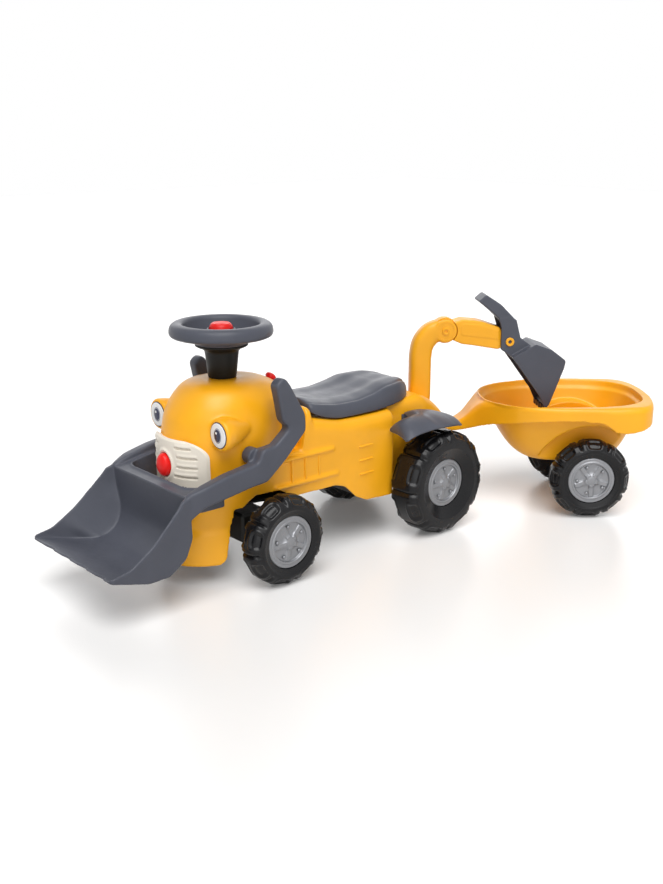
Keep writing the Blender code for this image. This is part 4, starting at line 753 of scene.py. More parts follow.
    def build(self, layout: Layout) -> None:
        """Makes the body and the small moulded details on its sides."""
        solids = [self.hood_solid(0.0), self.low_solid(0.0)] + [self.pod_solid(sign) for _, sign in SIDES]
        solids += self.ledge_ridges()
        outer = carved(melted(solids, 0.0020, 7), [self.below()])
        outer = melted([outer], 0.0021, 3, 0.8)
        x, y, z = self.eye
        tools = [
            self.hood_solid(self.wall, 0.24),
            self.low_solid(self.wall),
            box(*self.store),
            rod(self.shaft_bore, (0, STEERING_Y, 0.22), (0, STEERING_Y, 0.36)),
            rod(self.mast_bore, (0, Frame.MAST.along, 0.189), (0, Frame.MAST.along, 0.29)),
        ]
        tools += [rod(self.eye_radius, (x * s, y - 0.02, z), (x * s, y + 0.003, z)) for _, s in SIDES]
        layout.put("body_moulding", carved(outer, tools), YELLOW, "tractor", ["body_shell"])
        self.side_marks(layout)

    def side_marks(self, layout: Layout) -> None:
        """The three short louvres and the upright ribs moulded on each side."""
        profile = mm((-2.2, -2), (1.6, -2), (1.6, 0), (-2.2, 2.4))
        details = []
        for _, sign in SIDES:
            louvre = chamfered(slab(profile, 0.033, facing(0)), 0.0009, 3, 30)
            louvre.transform(moved(0.0937 * sign, 0.2255, 0.190) @ Matrix.Diagonal((sign, 1, 1, 1)))
            details.append(repeated("louvres", outward(louvre), Spread.ROW, 3, (0, 0.0015, -0.0262), YELLOW))
            rib = chamfered(box((-0.0018, -0.0022, -0.0225), (0.0018, 0.0022, 0.0225)), 0.0016, 3, 30)
            rib.transform(moved(0.0893 * sign, 0.0560, 0.1745))
            details.append(repeated("ribs", rib, Spread.ROW, 3, (0.0006 * sign, 0.030, 0), YELLOW))
        layout.put("side_marks", joined(details), YELLOW, "tractor")


@dataclass
class FrontFace:
    """The pale grille with its raised louvres, the red nose and the round lamps."""

    body: BodyMoulding
    low: float = 0.171
    high: float = 0.254
    proud: float = 0.0085
    nose_z: float = 0.208
    louvres: tuple[float, ...] = (0.193, 0.209, 0.225, 0.241)

    def half_width(self, z: np.ndarray) -> np.ndarray:
        """Half the grille's width at a height: rounded top shoulders and small lower corners."""
        top = np.clip((z - (self.high - 0.030)) / 0.030, 0.0, 1.0)
        foot = np.clip(((self.low + 0.010) - z) / 0.010, 0.0, 1.0)
        shoulder = 0.0745 - 0.040 * (1 - np.sqrt(np.clip(1 - top**2.2, 0.0, 1.0)))
        return shoulder - 0.010 * (1 - np.sqrt(np.clip(1 - foot**2, 0.0, 1.0)))

    def relief(self, x: np.ndarray, z: np.ndarray) -> np.ndarray:
        """How far the grille's face stands out or in from its plain surface."""
        height, side = np.zeros_like(x), np.abs(x)
        for k, level in enumerate(self.louvres):
            inner = 0.029 if k in (1, 2) else 0.024
            outer = 0.060 if k < 3 else 0.0515
            start, stop = (step_up(side, end - 0.002, end + 0.002) for end in (inner, outer))
            below = level - z
            groove = np.exp(-((below - 0.0008) / 0.0016) ** 2)
            lip = np.exp(-((below + 0.0040) / 0.0026) ** 2)
            height += start * (1 - stop) * (0.0010 * lip - 0.0030 * groove)
        ring = np.sqrt((x / 0.0165) ** 2 + ((z - self.nose_z) / 0.0205) ** 2)
        height += 0.0022 * np.exp(-((ring - 1.22) / 0.17) ** 2) - 0.004 * (1 - step_up(ring, 0.96, 1.04))
        edge = np.minimum(self.half_width(z) - side, np.minimum(self.high - z, z - self.low))
        return height - 0.0030 * (1 - step_up(edge, -0.0005, 0.0042))

    def grille(self) -> Mesh:
        """The grille, a sheet wrapped round the hood's front."""
        rows = []
        for z, half, front, back in between(self.body.hood, eased(self.low, self.high, 150)):
            ring = oval(half + self.proud, front - self.proud, back, z, 2400)
            ring = ring[ring[:, 1] < -0.030]
            ring = ring[np.argsort(ring[:, 0])]
            reach = float(self.half_width(np.array([z]))[0])
            x = reach * np.sin(np.linspace(-math.pi / 2, math.pi / 2, 220))
            y = np.interp(x, ring[:, 0], ring[:, 1])
            slope = np.gradient(y, x)
            size = np.sqrt(1 + slope**2)
            out = self.relief(x, np.full_like(x, z))
            rows.append(np.column_stack([x + slope / size * out, y - out / size, np.full_like(x, z)]))
        return thickened(skin(rows, wrap=False), self.proud - 0.0010, 1, -1)

    def lamps(self, layout: Layout) -> None:
        """Each round lamp: an outline, a pale plate, a grey ring, a dark middle and its bright spot."""
        x0, y0, z0 = self.body.eye
        out = (self.body.eye_radius - 0.0004) * 1000
        squeezed = (0.78, 1.0)
        line = mm((0, 0.6), (out - 1, 0.6), (out, 0), (out, -2.9), (0, -2.9))
        pale = mm((0, 1.6), (18, 1.6), (20, 1.2), (20.6, 0.6), (20.6, 0.2), (0, 0.2))
        ring = mm((0, 2.3), (11.8, 2.2), (12.6, 1.8), (12.8, 1), (0, 1))
        disc = mm((0, 3.1), (7, 2.9), (10.2, 2.4), (10.6, 1.5), (0, 1.5))
        spot = mm((0, 3.7), (1.4, 3.5), (2.2, 3), (2.2, 2), (0, 2))
        for side, sign in SIDES:
            place = moved(x0 * sign, y0, z0) @ spun(90, "X")
            rows = (
                ("lamp_outline_", line, NAVY, [], (1, 1), (0, 0)),
                ("lamp_plate_", pale, WHITE, ["eye_" + side], (1, 1), (0, 0)),
                ("lamp_ring_", ring, GREY, [], squeezed, (0, 0)),
                ("lamp_middle_", disc, NAVY, ["pupil_" + side], squeezed, (0, 0)),
                ("lamp_spot_", spot, WHITE, [], (1, 1), (-0.0022, 0.0042)),
            )
            for name, profile, finish, nodes, scale, (right, up) in rows:
                mesh = turned(profile, 56, scale)
                mesh.transform(place @ moved(right, up, 0))
                layout.put(name + side, mesh, finish, "tractor", nodes)

    def build(self, layout: Layout) -> None:
        """Makes the grille, the nose and both lamps."""
        layout.put("grille", self.grille(), CREAM, "tractor", ["front_grille"], crease=60.0)
        front = float(monotone(self.body.hood, np.array([self.nose_z]))[0][1]) - self.proud
        nose = turned(dome(1.0, 0.003, 0.0095, 16) + [(1.0, -0.003), (0.0, -0.003)], 72, (0.0155, 0.0195))
        nose.transform(moved(0, front, self.nose_z) @ spun(90, "X"))
        layout.put("nose", nose, RED, "tractor", ["nose_button"])
        self.lamps(layout)


@dataclass
class Seat:
    """The saddle-shaped seat lid: rows of y, half width, hem, shoulder and crown."""

    wall: float = 0.003
    stations: Table = mm(
        (108, 70, 269, 281.5, 288), (110, 76, 268, 282, 288), (116, 78.8, 264.5, 281.5, 287.2),
        (127, 79.7, 259.2, 279, 284.5), (145, 79.7, 253, 275.5, 279.5), (178, 79.7, 246.5, 270.5, 274.5),
        (220, 79.7, 245.2, 269.5, 273.2), (262, 79, 245.4, 274.5, 277.5), (305, 75.5, 247, 283.5, 286.8),
        (335, 69, 249, 284.2, 288.5), (360, 57, 250.5, 280, 285), (380, 41, 252, 272, 276.5),
        (393, 18, 253, 260, 264),
    )

    def solid(self, inset: float) -> Mesh:
        """The seat's outer form, or its hollow when drawn in."""
        keys = spread_over((self.stations[0][0], 0.125, 14), (0.125, self.stations[-1][0], 90))
        rings = []
        for y, side, hem, shoulder, crown in between(self.stations, keys):
            width = max(side - inset, side * 0.6)
            shoulder, crown = shoulder - inset, crown - inset
            half = [
                (width, hem - (0.03 if inset > 0 else 0.0)),
                (width - 0.0006, (hem + shoulder) / 2),
                (width - 0.0040, shoulder - 0.0026),
                (width - 0.0080, shoulder + 0.0004),
                (width - 0.0105, shoulder - 0.0004 if inset == 0 else shoulder + 0.0004),
                (width - 0.0125, shoulder + 0.0014),
                (width * 0.74, shoulder + 0.0036),
                (width * 0.55, (shoulder + crown) / 2 + 0.0034),
                (width * 0.30, crown - 0.0006),
                (0.0, crown),
            ]
            rings.append(at_y(through(mirrored(np.array(half), 1), 97), y))
        mesh = skin(rings)
        if inset > 0:
            mesh.transform(moved(0, 0.25, 0) @ Matrix.Diagonal((1, 0.975, 1, 1)) @ moved(0, -0.25, 0))
        return mesh

    def build(self, layout: Layout) -> None:
        """Makes the lid with its hinge knuckle."""
        lid = carved(melted([self.solid(0.0)], 0.0014, 3), [self.solid(self.wall)])
        knuckle = chamfered(box((-0.030, 0.1140, 0.2700), (0.030, 0.1260, 0.2835)), 0.001, 2)
        layout.put("seat_lid_moulding", joined([lid, knuckle]), SLATE, "seat", ["seat_lid"])


@dataclass
class Steering:
    """The steering wheel, its column and the horn cap."""

    ring_radius: float = 0.0755
    tube: float = 0.0120
    ring_z: float = 0.4213
    column_top: float = 0.397
    foot: float = 0.3396

    def wheel(self) -> Mesh:
        """The thick ring with its deep dish."""
        low = self.column_top + 0.0003
        turn = np.radians(np.linspace(165, -115, 40))
        c, s = np.cos(turn), np.sin(turn)
        r = self.ring_radius + self.tube * squared(c, 0.82) - 0.0018 * s * (c > 0) - 0.0008 * s
        rim = list(zip(r, self.ring_z + self.tube * squared(s, 0.82)))
        well = raised(low, (21.3, 4), (21.3, 23.8), (22, 25), (23.8, 24.6), (26.2, 18))
        dish = raised(low, (31, 12.2), (50, 10.8), (58, 13))
        under = raised(low, (60, 8.5), (49, 3.6), (45.7, 1.2), (45, 0), (0, 0), (0, 4))
        return turned(well + dish + rim + under, 128)

    def column(self) -> Mesh:
        """The tapered column with its flared head."""
        head = ((7.3, 0), (44.2, 0), (45, -0.8), (45, -2.8), (44.2, -3.6), (40.5, -5.4), (34.5, -7.8))
        neck = ((30.8, -10.4), (29.2, -13.4), (28.6, -16.5))
        foot = raised(self.foot, (24.2, 1.5), (23.4, 0), (7.3, 0))
        return turned(raised(self.column_top, *head, *neck) + foot, 96)

    def horn(self) -> Mesh:
        """The domed horn cap with its raised rim."""
        top = self.column_top + 0.0365
        crown = raised(top, (0, -1), (6, -1.4), (10.8, -2.8), (12.2, -2.2), (14.6, -2), (16.8, -3.4))
        side = raised(top, (19, -6.6), (20.2, -10), (20.5, -13))
        foot = raised(self.column_top + 0.0083, (20.5, 0), (17.5, 0))
        return turned(crown + side + foot + raised(top, (17.5, -9.5), (0, -8.5)), 80)

    def build(self, layout: Layout) -> None:
        """Makes the three turned pieces on the steering axis, and the button behind it."""
        back = raised(0, (10, 3), (8, 3), (8, -10), (0, -10))
        button = turned(dome(0.0098, 0.0062, 0.0050, 12) + back, 56)
        axis = moved(0, STEERING_Y, 0)
        lean = moved(0, 0.0785, 0.3195) @ spun(-38, "X")
        rows = (
            ("steering_wheel_moulding", self.wheel(), SLATE, "steering", "steering_wheel", axis),
            ("column_sleeve", self.column(), BLACK, "steering", "steering_column", axis),
            ("horn_cap", self.horn(), RED, "horn", "horn_button", axis),
            ("sound_button_cap", button, RED, "sound_button", "dash_button", lean),
        )
        for name, mesh, finish, body, replaced, place in rows:
            mesh.transform(place)
            layout.put(name, mesh, finish, body, [replaced])


@dataclass
class Wheel:
    """One wheel: a moulded tyre with eight lugs and a silver hub cap."""

    name: str
    sign: int
    out: float
    along: float
    reach: float
    angle: float
    frame: Frame
    radius: float
    width: float
    dish: float
    lugs: int = 8
    steps: int = 336
    tube: float = 0.0125
    bore: float = 0.0044
    cap_radius: float = 0.046
    cap_depth: float = 0.011

    def tyre(self) -> Mesh:
        """The tyre, a round section with broad lugs, each with a pocket on its shoulders."""
        r, w, dish, seat = self.radius, self.width, self.dish, self.cap_radius + 0.0006
        lip = seat + 0.0025 + dish * 1.7
        hub, bed = self.reach + 0.0008 - self.out, -dish - self.cap_depth
        outer, inner = (r - 0.0035, -0.0085), (r - 0.0035, -w + 0.0075)
        bead = [(seat + 0.0012, -dish - 0.0005), (lip, -0.0016), (lip + 0.004, 0.0)]
        face = [(r - 0.013, -0.0012), outer, (r, -0.0190)]
        back = [(r, -w + 0.0170), inner, (r - 0.013, -w + 0.0010), (lip, -w)]
        tube, bore = self.tube, self.bore
        hidden = [(tube, -w), (tube, hub), (bore, hub), (bore, bed), (seat, bed), (seat, -dish - 0.0010)]
        line = through(bead + face + back, 110)
        tangent = np.gradient(line, axis=0)
        normal = np.stack([-tangent[:, 1], tangent[:, 0]], axis=-1)
        normal /= np.linalg.norm(normal, axis=1)[:, None]
        turn = circle(self.steps)[:, None]
        lug = (turn / (2 * math.pi) * self.lugs) % 1.0
        high = step_up(line[:, 0], r * 0.80, r * 0.93)[None]
        height = -0.0042 * high * np.exp(-(((0.5 - np.abs(lug - 0.5)) / 0.050) ** 2))
        about = np.abs(lug - 0.5) * (2 * math.pi * r / self.lugs) / (0.0155 * r / WHEEL_Z)
        length = run(line)[None]
        for radial, axial in (outer, inner):
            far = np.abs(line[:, 0] - radial) + 10 * (np.abs(line[:, 1] - axial) > 0.01)
            side = (about**4 + (np.abs(length - length[0, np.argmin(far)]) / 0.0118) ** 4) ** 0.25
            pocket, bank = 1 - step_up(side, 0.70, 1.0), np.exp(-(((side - 1.12) / 0.12) ** 2))
            height = height - 0.0030 * pocket + 0.0010 * bank
        section = line[None] + normal[None] * height[..., None]
        section = np.concatenate([section, np.tile(np.array(hidden), (self.steps, 1, 1))], axis=1)
        radial, axial = section[..., 0], section[..., 1]
        rows = np.stack([axial, radial * np.cos(turn), radial * np.sin(turn)], axis=-1)
        return skin(rows, caps=False, ring=True)

    def cap(self) -> Mesh:
        """The hub cap: a stepped rim and five spokes round a domed middle."""
        r, turn = np.linspace(0.0, self.cap_radius, 72)[:, None], circle(220)[None]
        height = -0.0046 + 0.0060 * np.exp(-((r / 0.0125) ** 4)) + 0.0 * turn
        for rise, low, high in ((0.0046, 0.0335, 0.0355), (-0.0012, 0.0385, 0.0392), (-0.0016, 0.0445, 0.0460)):
            height = height + rise * step_up(r, low, high)
        off = np.abs(((turn / (2 * math.pi) * 5) % 1.0) - 0.5) * 2 * math.pi / 5 * r
        spoke = (1 - step_up(off, 0.0036, 0.0056)) * step_up(r, 0.008, 0.012) * (1 - step_up(r, 0.0325, 0.0350))
        beside = (1 - step_up(off, 0.0060, 0.0085)) * step_up(off, 0.0040, 0.0056)
        height = height + 0.0024 * spoke + 0.0010 * (np.exp(-(((r - 0.0215) / 0.0050) ** 2)) * beside)
        height = np.vstack([height, np.full((2, 220), -self.cap_depth + 0.0003)])
        r = np.vstack([r, [[self.cap_radius], [1e-7]]])
        return skin(np.stack([height, r * np.cos(turn), r * np.sin(turn)], axis=-1), caps=False)

    def bosses(self) -> Mesh:
        """The five small round bosses on the cap."""
        boss = turned(mm((0, 1.6), (1.4, 1.4), (2.7, 0.8), (3.2, 0), (3.2, -1), (0, -1)), 24)
        made = repeated("bosses", boss, Spread.ROUND, 5, (0.0275, 0, 0), SILVER)
        made.transform(moved(-0.0024, 0, 0) @ spun(90, "Y") @ spun(36, "Z"))
        return made

    def build(self, layout: Layout) -> None:
        """Puts the tyre and the cap on their axle, turned for their side."""
        place = moved(self.out * self.sign, self.along, self.radius) @ spun(90 - 90 * self.sign, "Z")
        spin = spun(self.angle, "X")
        cap = joined([self.cap(), self.bosses()])
        rows = (
            ("_tyre_moulding", self.tyre(), TYRE_BLACK, "_tyre", 0.0, 50.0),
            ("_cap", cap, SILVER, "_hub_cap", -self.dish, 60.0),
        )
        for name, mesh, finish, replaced, inwards, crease in rows:
            mesh.transform(place @ moved(inwards, 0, 0) @ spin)
            nodes = [self.name + replaced]
            layout.put(self.name + name, mesh, finish, self.name + "_wheel", nodes, self.frame, crease)


def make_wheels(layout: Layout) -> None:
    """All six wheels, each at rest at its own angle, as wheels stop anywhere."""
    small = {"radius": WHEEL_Z, "width": 0.050, "dish": 0.003}
    big = {"radius": 0.0984, "width": 0.068, "dish": 0.010}
    rows = (
        ("front_", 0.157, 0.0, 0.072, (8.0, 31.0), Frame.TRACTOR, small),
        ("rear_", 0.162, 0.379, 0.066, (2.0, 17.0), Frame.TRACTOR, big),
        ("trailer_", 0.1385, 0.290, 0.066, (20.0, 39.0), Frame.TRAILER, small),
    )
    for k, (side, sign) in enumerate(SIDES):
        for name, out, along, reach, angles, frame, sizes in rows:
            Wheel(name + side, sign, out, along, reach, angles[k], frame, **sizes).build(layout)


@dataclass
class Fenders:
    """The slate mudguards over the back wheels: rows of y, inner and outer x, low, crown and tip z."""

    wall: float = 0.0040
    tail_x: float = 0.067
    stations: Table = mm(
        (262.5, 108, 156, 206, 208.5, 205), (264, 99, 161.5, 207.5, 217, 206.5),
        (269, 96.5, 164, 212, 227, 209), (279, 96, 166, 216, 235, 212.5), (300, 95, 167.5, 218.5, 240, 216),
        (330, 95, 168, 222, 241.2, 217.8), (360, 95, 166.5, 225, 239.5, 216.5),
        (390, 95, 162, 221, 233, 213.5), (415, 96, 158, 214, 225, 210.5), (435, 98, 151, 206, 214, 205),
        (442, 103, 143, 202, 208, 201), (444, 112, 133, 200, 204, 199),
    )

    def leaf(self, sign: int) -> Mesh:
        """One mudguard, a curved leaf that reaches in to the tail."""
        start, end = self.stations[0][0], self.stations[-1][0]
        t = np.linspace(0.0, 1.0, 34)
        rows = []
        for y, inner, outer, low, crown, tip in between(self.stations, eased(start, end, 90)):
            inner += (self.tail_x - inner) * (step_up(y, 0.330, 0.350) * (1 - step_up(y, 0.388, 0.425)))
            z = (1 - t) ** 2 * low + 2 * t * (1 - t) * (crown * 1.5 - (low + tip) * 0.25) + t**2 * tip
            front, back = max(0.0, 1 - (y - start) / 0.060), max(0.0, (y - 0.385) / 0.059)
            skewed = y + 0.017 * (1 - t) * front - 0.018 * t * back
            rows.append(np.column_stack([(inner + (outer - inner) * t) * sign, skewed, z]))
        return thickened(skin(rows, wrap=False), self.wall, 2, 1, soft_edge(0.0012, 3, 55))

    def build(self, layout: Layout) -> None:
        """Makes both mudguards with the foot that each has on the tail."""
        for side, sign in SIDES:
            low, high = sorted((0.0663 * sign, 0.0693 * sign))
            foot = box((low, 0.3420, 0.199), (high, 0.3850, 0.222))
            mesh = joined([self.leaf(sign), chamfered(foot, 0.0008, 2)])
            layout.put("mudguard_" + side, mesh, SLATE, "tractor", ["fender_" + side])


@dataclass
class Loader:
    """The front loader: two lever arms, the shelf between them and the scoop.

    The floor and rim lines are (y, z) points inside the scoop, from its back to past its lip. The pinch
    gives half the floor's width at shares of the way along them.
    """

    arm_in: float = 0.106
    arm_out: float = 0.128
    front: float = -0.1738
    half: float = 0.127
    wall: float = 0.0035
    draw: float = 0.0125
    pin: tuple[float, float] = (-0.038, 0.225)
    lip: float = -0.3295
    tooth: float = 0.0060
    corner: float = 0.0145
    opening: Table = mm(
        (-97.5, -158.5, 36), (97.5, -158.5, 36), (97.5, -95, 0), (-97.5, -95, 0),
    )
    arm: Table = mm(
        (-6, 343, 10), (11, 356, 10), (23.5, 342, 10), (56, 286, 18), (58, 256, 14), (12, 212, 18),
        (-26, 182, 14), (-56, 180, 14), (-126, 169, 30), (-150, 165.5, 10), (-172.2, 148, 1),
        (-182, 148, 0), (-188, 180, 3), (-174, 191, 12), (-148, 200.5, 20), (-104, 211, 30),
        (-44, 219.5, 8), (-35, 240, 12), (-8, 242, 12), (23, 267, 10), (8, 278, 12), (0, 318, 20),
    )
    scoop: Table = mm(
        (-188, 183.8, 3), (-174.5, 187.2, 3), (-171.5, 118, 20), (-185, 86, 24), (-218, 66, 24),
        (-260, 66, 40), (-327, 85, 2), (-330, 91, 2), (-292, 98.5, 30), (-250, 125, 60), (-202, 169, 30),
    )

    floor_line: Table = mm(
        (-178, 196), (-176.8, 155), (-177.5, 120), (-182.6, 102), (-192.5, 88), (-206.5, 78.5), (-224, 74),
        (-260, 73.8), (-295, 81.5), (-327, 89.3), (-365, 99),
    )
    rim_line: Table = mm(
        (-194, 196), (-203, 171), (-250, 127), (-292, 100), (-330, 94), (-365, 106),
    )
    pinch: Table = (
        (0, 0.111), (0.13, 0.106), (0.27, 0.093), (0.42, 0.087), (0.5, 0.087), (0.62, 0.108),
        (0.74, 0.1165), (0.86, 0.119), (1, 0.121),
    )

    def arms(self) -> list[Mesh]:
        """Both lever arms with their bosses, the arms' long edges rounded."""
        made = []
        for _, sign in SIDES:
            middle = (self.arm_in + self.arm_out) / 2 * sign
            mesh = slab(rounded(self.arm), self.arm_out - self.arm_in, across(middle))
            made.append(self.drawn_in(melted([mesh], 0.0020, 22)))
            made.append(axle(0.0145, *sorted((0.089 * sign, 0.110 * sign)), self.pin))
        return made

    def drawn_in(self, mesh: Mesh) -> Mesh:
        """An arm whose outer face curves in at its front end, towards the scoop."""
        for vertex in mesh.vertices:
            outer = max(0.0, abs(vertex.co.x) - self.arm_in) / (self.arm_out - self.arm_in)
            inwards = self.draw * step_up(-vertex.co.y, 0.140, 0.192) * outer
            vertex.co.x -= math.copysign(inwards, vertex.co.x)
        return mesh

    def shelf(self) -> Mesh:
        """The sloping shelf between the arms, with the collar that hangs round its opening."""
        half, front, back = self.arm_in + 0.004, self.front, -0.0950
        slope = moved(0, front, 0.1832) @ spun(10, "X") @ moved(0, -front, 0)
        sheet = slab(((-half, front), (half, front), (half, back), (-half, back)), 0.0060, slope)
        grown = [(x * 1.032, y - 0.003 if y < -0.1 else y, r) for x, y, r in self.opening]
        return joined([sheet, slab(rounded(grown, 12), 0.044, moved(0, 0, 0.170))])

    def narrowing(self, y: np.ndarray) -> np.ndarray:
        """The scoop's width at a distance, as a share of its width at the lip."""
        shares = ((-0.37, 1), (-0.33, 1), (-0.25, 0.985), (-0.18, 0.94), (-0.16, 0.935))
        return monotone(shares, y)[:, 0]

    def scoop_solid(self) -> Mesh:
        """The scoop's outer form, its width falling towards the back."""
        mesh = plate(self.scoop, self.half * 2, 0.0085, 5, 60)
        points = np.array([vertex.co for vertex in mesh.vertices], float)
        points[:, 0] *= self.narrowing(points[:, 1])
        mesh.vertices.foreach_set("co", points.ravel())
        mesh.update()
        return mesh

    def hollow(self) -> Mesh:
        """The space in the scoop: wide at the rim, pinched low down at the back, with a soft crease."""
        count = 80
        floor, rim = through(self.floor_line, count), through(self.rim_line, count)
        foot = monotone(self.pinch, np.linspace(0.0, 1.0, count))[:, 0]
        top = self.half * self.narrowing(rim[:, 0]) - self.wall
        rise = np.append(np.linspace(0.0, 1.0, 14), 1.25)
        rows = []
        for low, high, narrow, wide in zip(floor, rim, foot, top):
            half = np.column_stack([narrow + (wide - narrow) * rise**0.9, low + (high - low) * rise[:, None]])
            rows.append(np.vstack([half[::-1], half * np.array([-1, 1, 1])]))
        return skin(rows)

    def lip_cutter(self) -> Mesh:
        """What is cut off in front of the lip, so that it ends in shallow saw steps and round corners."""
        far, toothed = 0.14, 0.105
        x = np.linspace(-far, far, 240)
        step = ((x + toothed) / 0.0525) % 1.0
        saw = self.tooth * step_up(step, 0.10, 0.92) * (1 - step_up(step, 0.93, 1.0))
        turn = np.clip((np.abs(x) - 0.113) / self.corner, 0.0, 1.0)
        y = self.lip + np.where(np.abs(x) < toothed, saw, 0.0) + self.corner * (1 - np.sqrt(1 - turn**2))
        return slab([*zip(x, y), (far, -0.36), (-far, -0.36)], 0.08, moved(0, 0, 0.09))

    def build(self, layout: Layout) -> None:
        """Makes the arms, the shelf and the scoop as the one moulding that they look like."""
        opening = slab(rounded(self.opening, 12), 0.2, moved(0, 0, 0.2))
        outer = melted(self.arms() + [self.shelf(), self.scoop_solid()], 0.0018, 6)
        mesh = melted([carved(outer, [opening, self.hollow(), self.lip_cutter()])], 0.0014, 2, 0.55)
        nodes = ["loader_arm_left", "loader_arm_right", "loader_cross_plate", "front_bucket"]
        layout.put("loader_moulding", mesh, SLATE, "loader", nodes, crease=60.0)


@dataclass
class Excavator:
    """The mast, the boom and the digging bucket, drawn in the mast's frame: x, reach, height."""

    elbow: tuple[float, float] = (0.047, 0.360)
    tip: tuple[float, float] = (0.174, 0.338)
    boom_half: float = 0.0185
    post_radius: float = 0.0215
    dig_half: float = 0.040
    wall: float = 0.003
    boom: Table = mm(
        (51, 346, 0), (80, 333.5, 20), (100, 331, 60), (155.5, 321.5, 4), (155.5, 365, 4), (115, 379, 60),
        (80, 382.5, 20), (51, 374, 0),
    )
    shell: Table = mm(
        (177, 309, 2), (204, 324, 0), (223, 335, 6), (256, 323, 10), (285, 301, 8), (282, 286, 6),
        (256, 213, 3), (248, 202.5, 1), (235, 230, 10),
    )
    cheek: Table = mm(
        (156.5, 323, 6), (178, 308.5, 3), (218, 330, 4), (196, 344, 6), (186, 381, 6), (172, 390, 2),
        (150, 384, 4), (156, 366, 3),
    )
    handle: Table = mm(
        (109, 418, 3), (124, 431, 4), (155, 411, 20), (180, 385.5, 4), (188, 364, 4), (172, 360, 6),
        (150, 384, 12), (130, 402, 10),
    )

    space: Table = mm(
        (170, 303, 0), (181, 308, 0), (223, 331.4, 6), (255.5, 319.4, 10), (282, 299.5, 8), (279, 286, 6),
        (253, 213.5, 0), (235, 190, 0), (170, 190, 0),
    )

    def mast(self) -> Mesh:
        """The bent post with its forked elbow."""
        bend = mm((0, 158), (0, 220), (0, 280), (0.5, 310), (5, 333), (18, 351), (34, 358.5))
        path = through(bend + (self.elbow,), 90)
        ahead = np.gradient(path, axis=0)
        ahead /= np.linalg.norm(ahead, axis=1)[:, None]
        c, s = np.cos(circle(72)), np.sin(circle(72))
        rings = []
        for (along, up), way in zip(path, ahead):
            square = step_up(up, 0.205, 0.240)
            power = 2 / (2.0 + 1.4 * square)
            reach = self.post_radius * squared(s, power)
            x = (self.post_radius - 0.0018 * square) * squared(c, power)
            rings.append(np.column_stack([x, along - way[1] * reach, up + way[0] * reach]))
        disc = chamfered(axle(0.0225, -0.0195, 0.0195, self.elbow), 0.002, 3)
        cuts = ((0.0262, -0.0104, 0.0104), (0.0165, 0.0188, 0.03), (0.0165, -0.03, -0.0188))
        return carved(melted([skin(rings), disc], 0.0012, 4), [axle(*cut, self.elbow) for cut in cuts])

    def boom_mesh(self) -> Mesh:
        """The boom with its panel line, and its eye inside the mast's fork."""
        width = self.boom_half * 2
        panel = mm((76, 352, 8), (152, 342, 2), (152, 360, 2), (112, 372.5, 50), (78, 374.5, 8))
        nose = mm((150, 323.5, 0), (178, 325, 6), (187, 338, 8), (178, 353, 8), (150, 363, 0))
        solids = [plate(self.boom, width, 0.005, 4), plate(panel, width + 0.0016, 0.0007, 2)]
        solids.append(plate(nose, width - 0.001, 0.003, 3))
        made = carved(melted(solids, 0.0011, 2), [axle(0.0237, -0.03, 0.03, self.elbow)])
        return joined([made, axle(0.0250, -0.0098, 0.0098, self.elbow)])

    def digger(self) -> Mesh:
        """The digging bucket: scoop, cheeks and handle."""
        inner = self.boom_half + 0.0008
        thick = 0.005
        solids = [plate(self.shell, self.dig_half * 2, 0.0022, 3)]
        solids += [plate(self.cheek, thick, 0.0012, 2, x=(inner + thick / 2) * sign) for _, sign in SIDES]
        solids.append(plate(self.handle, (inner + thick) * 2 - 0.001, 0.0030, 3))
        hollow = slab(rounded(self.space), (self.dig_half - self.wall) * 2, across(0))
        return carved(melted(solids, 0.0012, 2), [hollow, axle(0.0205, -inner, inner, self.tip)])

    def teeth(self) -> Mesh:
        """The row of pointed teeth along the digging edge."""
        outline = mm((-5.8, 209), (-4, 197.5), (4, 197.5), (5.8, 209))
        tooth = chamfered(slab(outline, 0.0046, facing(0.2470)), 0.0007, 2, 30)
        tooth.transform(moved(-0.0315, 0, 0))
        return repeated("teeth", tooth, Spread.ROW, 5, (0.01575, 0, 0), SLATE)

    def screw_heads(self, place: Row, out: float, radius: float) -> Mesh:
        """A round head with a raised ring and a deep socket at both ends of a pin."""
        ring = ((0.0, -0.0015), (radius * 0.40, -0.0015), (radius * 0.46, 0.0012), (radius * 0.62, 0.0016))
        rim = ((radius * 0.90, 0.0014), (radius, 0.0004), (radius, -0.0040), (0.0, -0.0040))
        heads = []
        for _, sign in SIDES:
            heads.append(turned(ring + rim, 48))
            heads[-1].transform(moved(out * sign, *place) @ spun(90 * sign, "Y"))
        return joined(heads)

    def build(self, layout: Layout) -> None:
        """Makes the arm's pieces and the heads of its two pins."""
        elbow = self.screw_heads(self.elbow, 0.0194, 0.0075)
        tip = self.screw_heads(self.tip, self.boom_half + 0.0072, 0.0085)
        rows = (
            ("mast_post", self.mast(), YELLOW, "excavator_mast", ["mast"]),
            ("elbow_bolt", elbow, YELLOW, "excavator_mast", ["elbow_pin"]),
            ("boom_beam", self.boom_mesh(), YELLOW, "excavator_boom", ["boom"]),
            ("bucket_pin_heads", tip, YELLOW, "excavator_boom", ["bucket_pin"]),
            ("digging_scoop", self.digger(), SLATE, "digging_bucket", ["excavator_bucket"]),
            ("digging_teeth", self.teeth(), SLATE, "digging_bucket", []),
        )
        for row in rows:
            layout.put(*row, Frame.MAST)


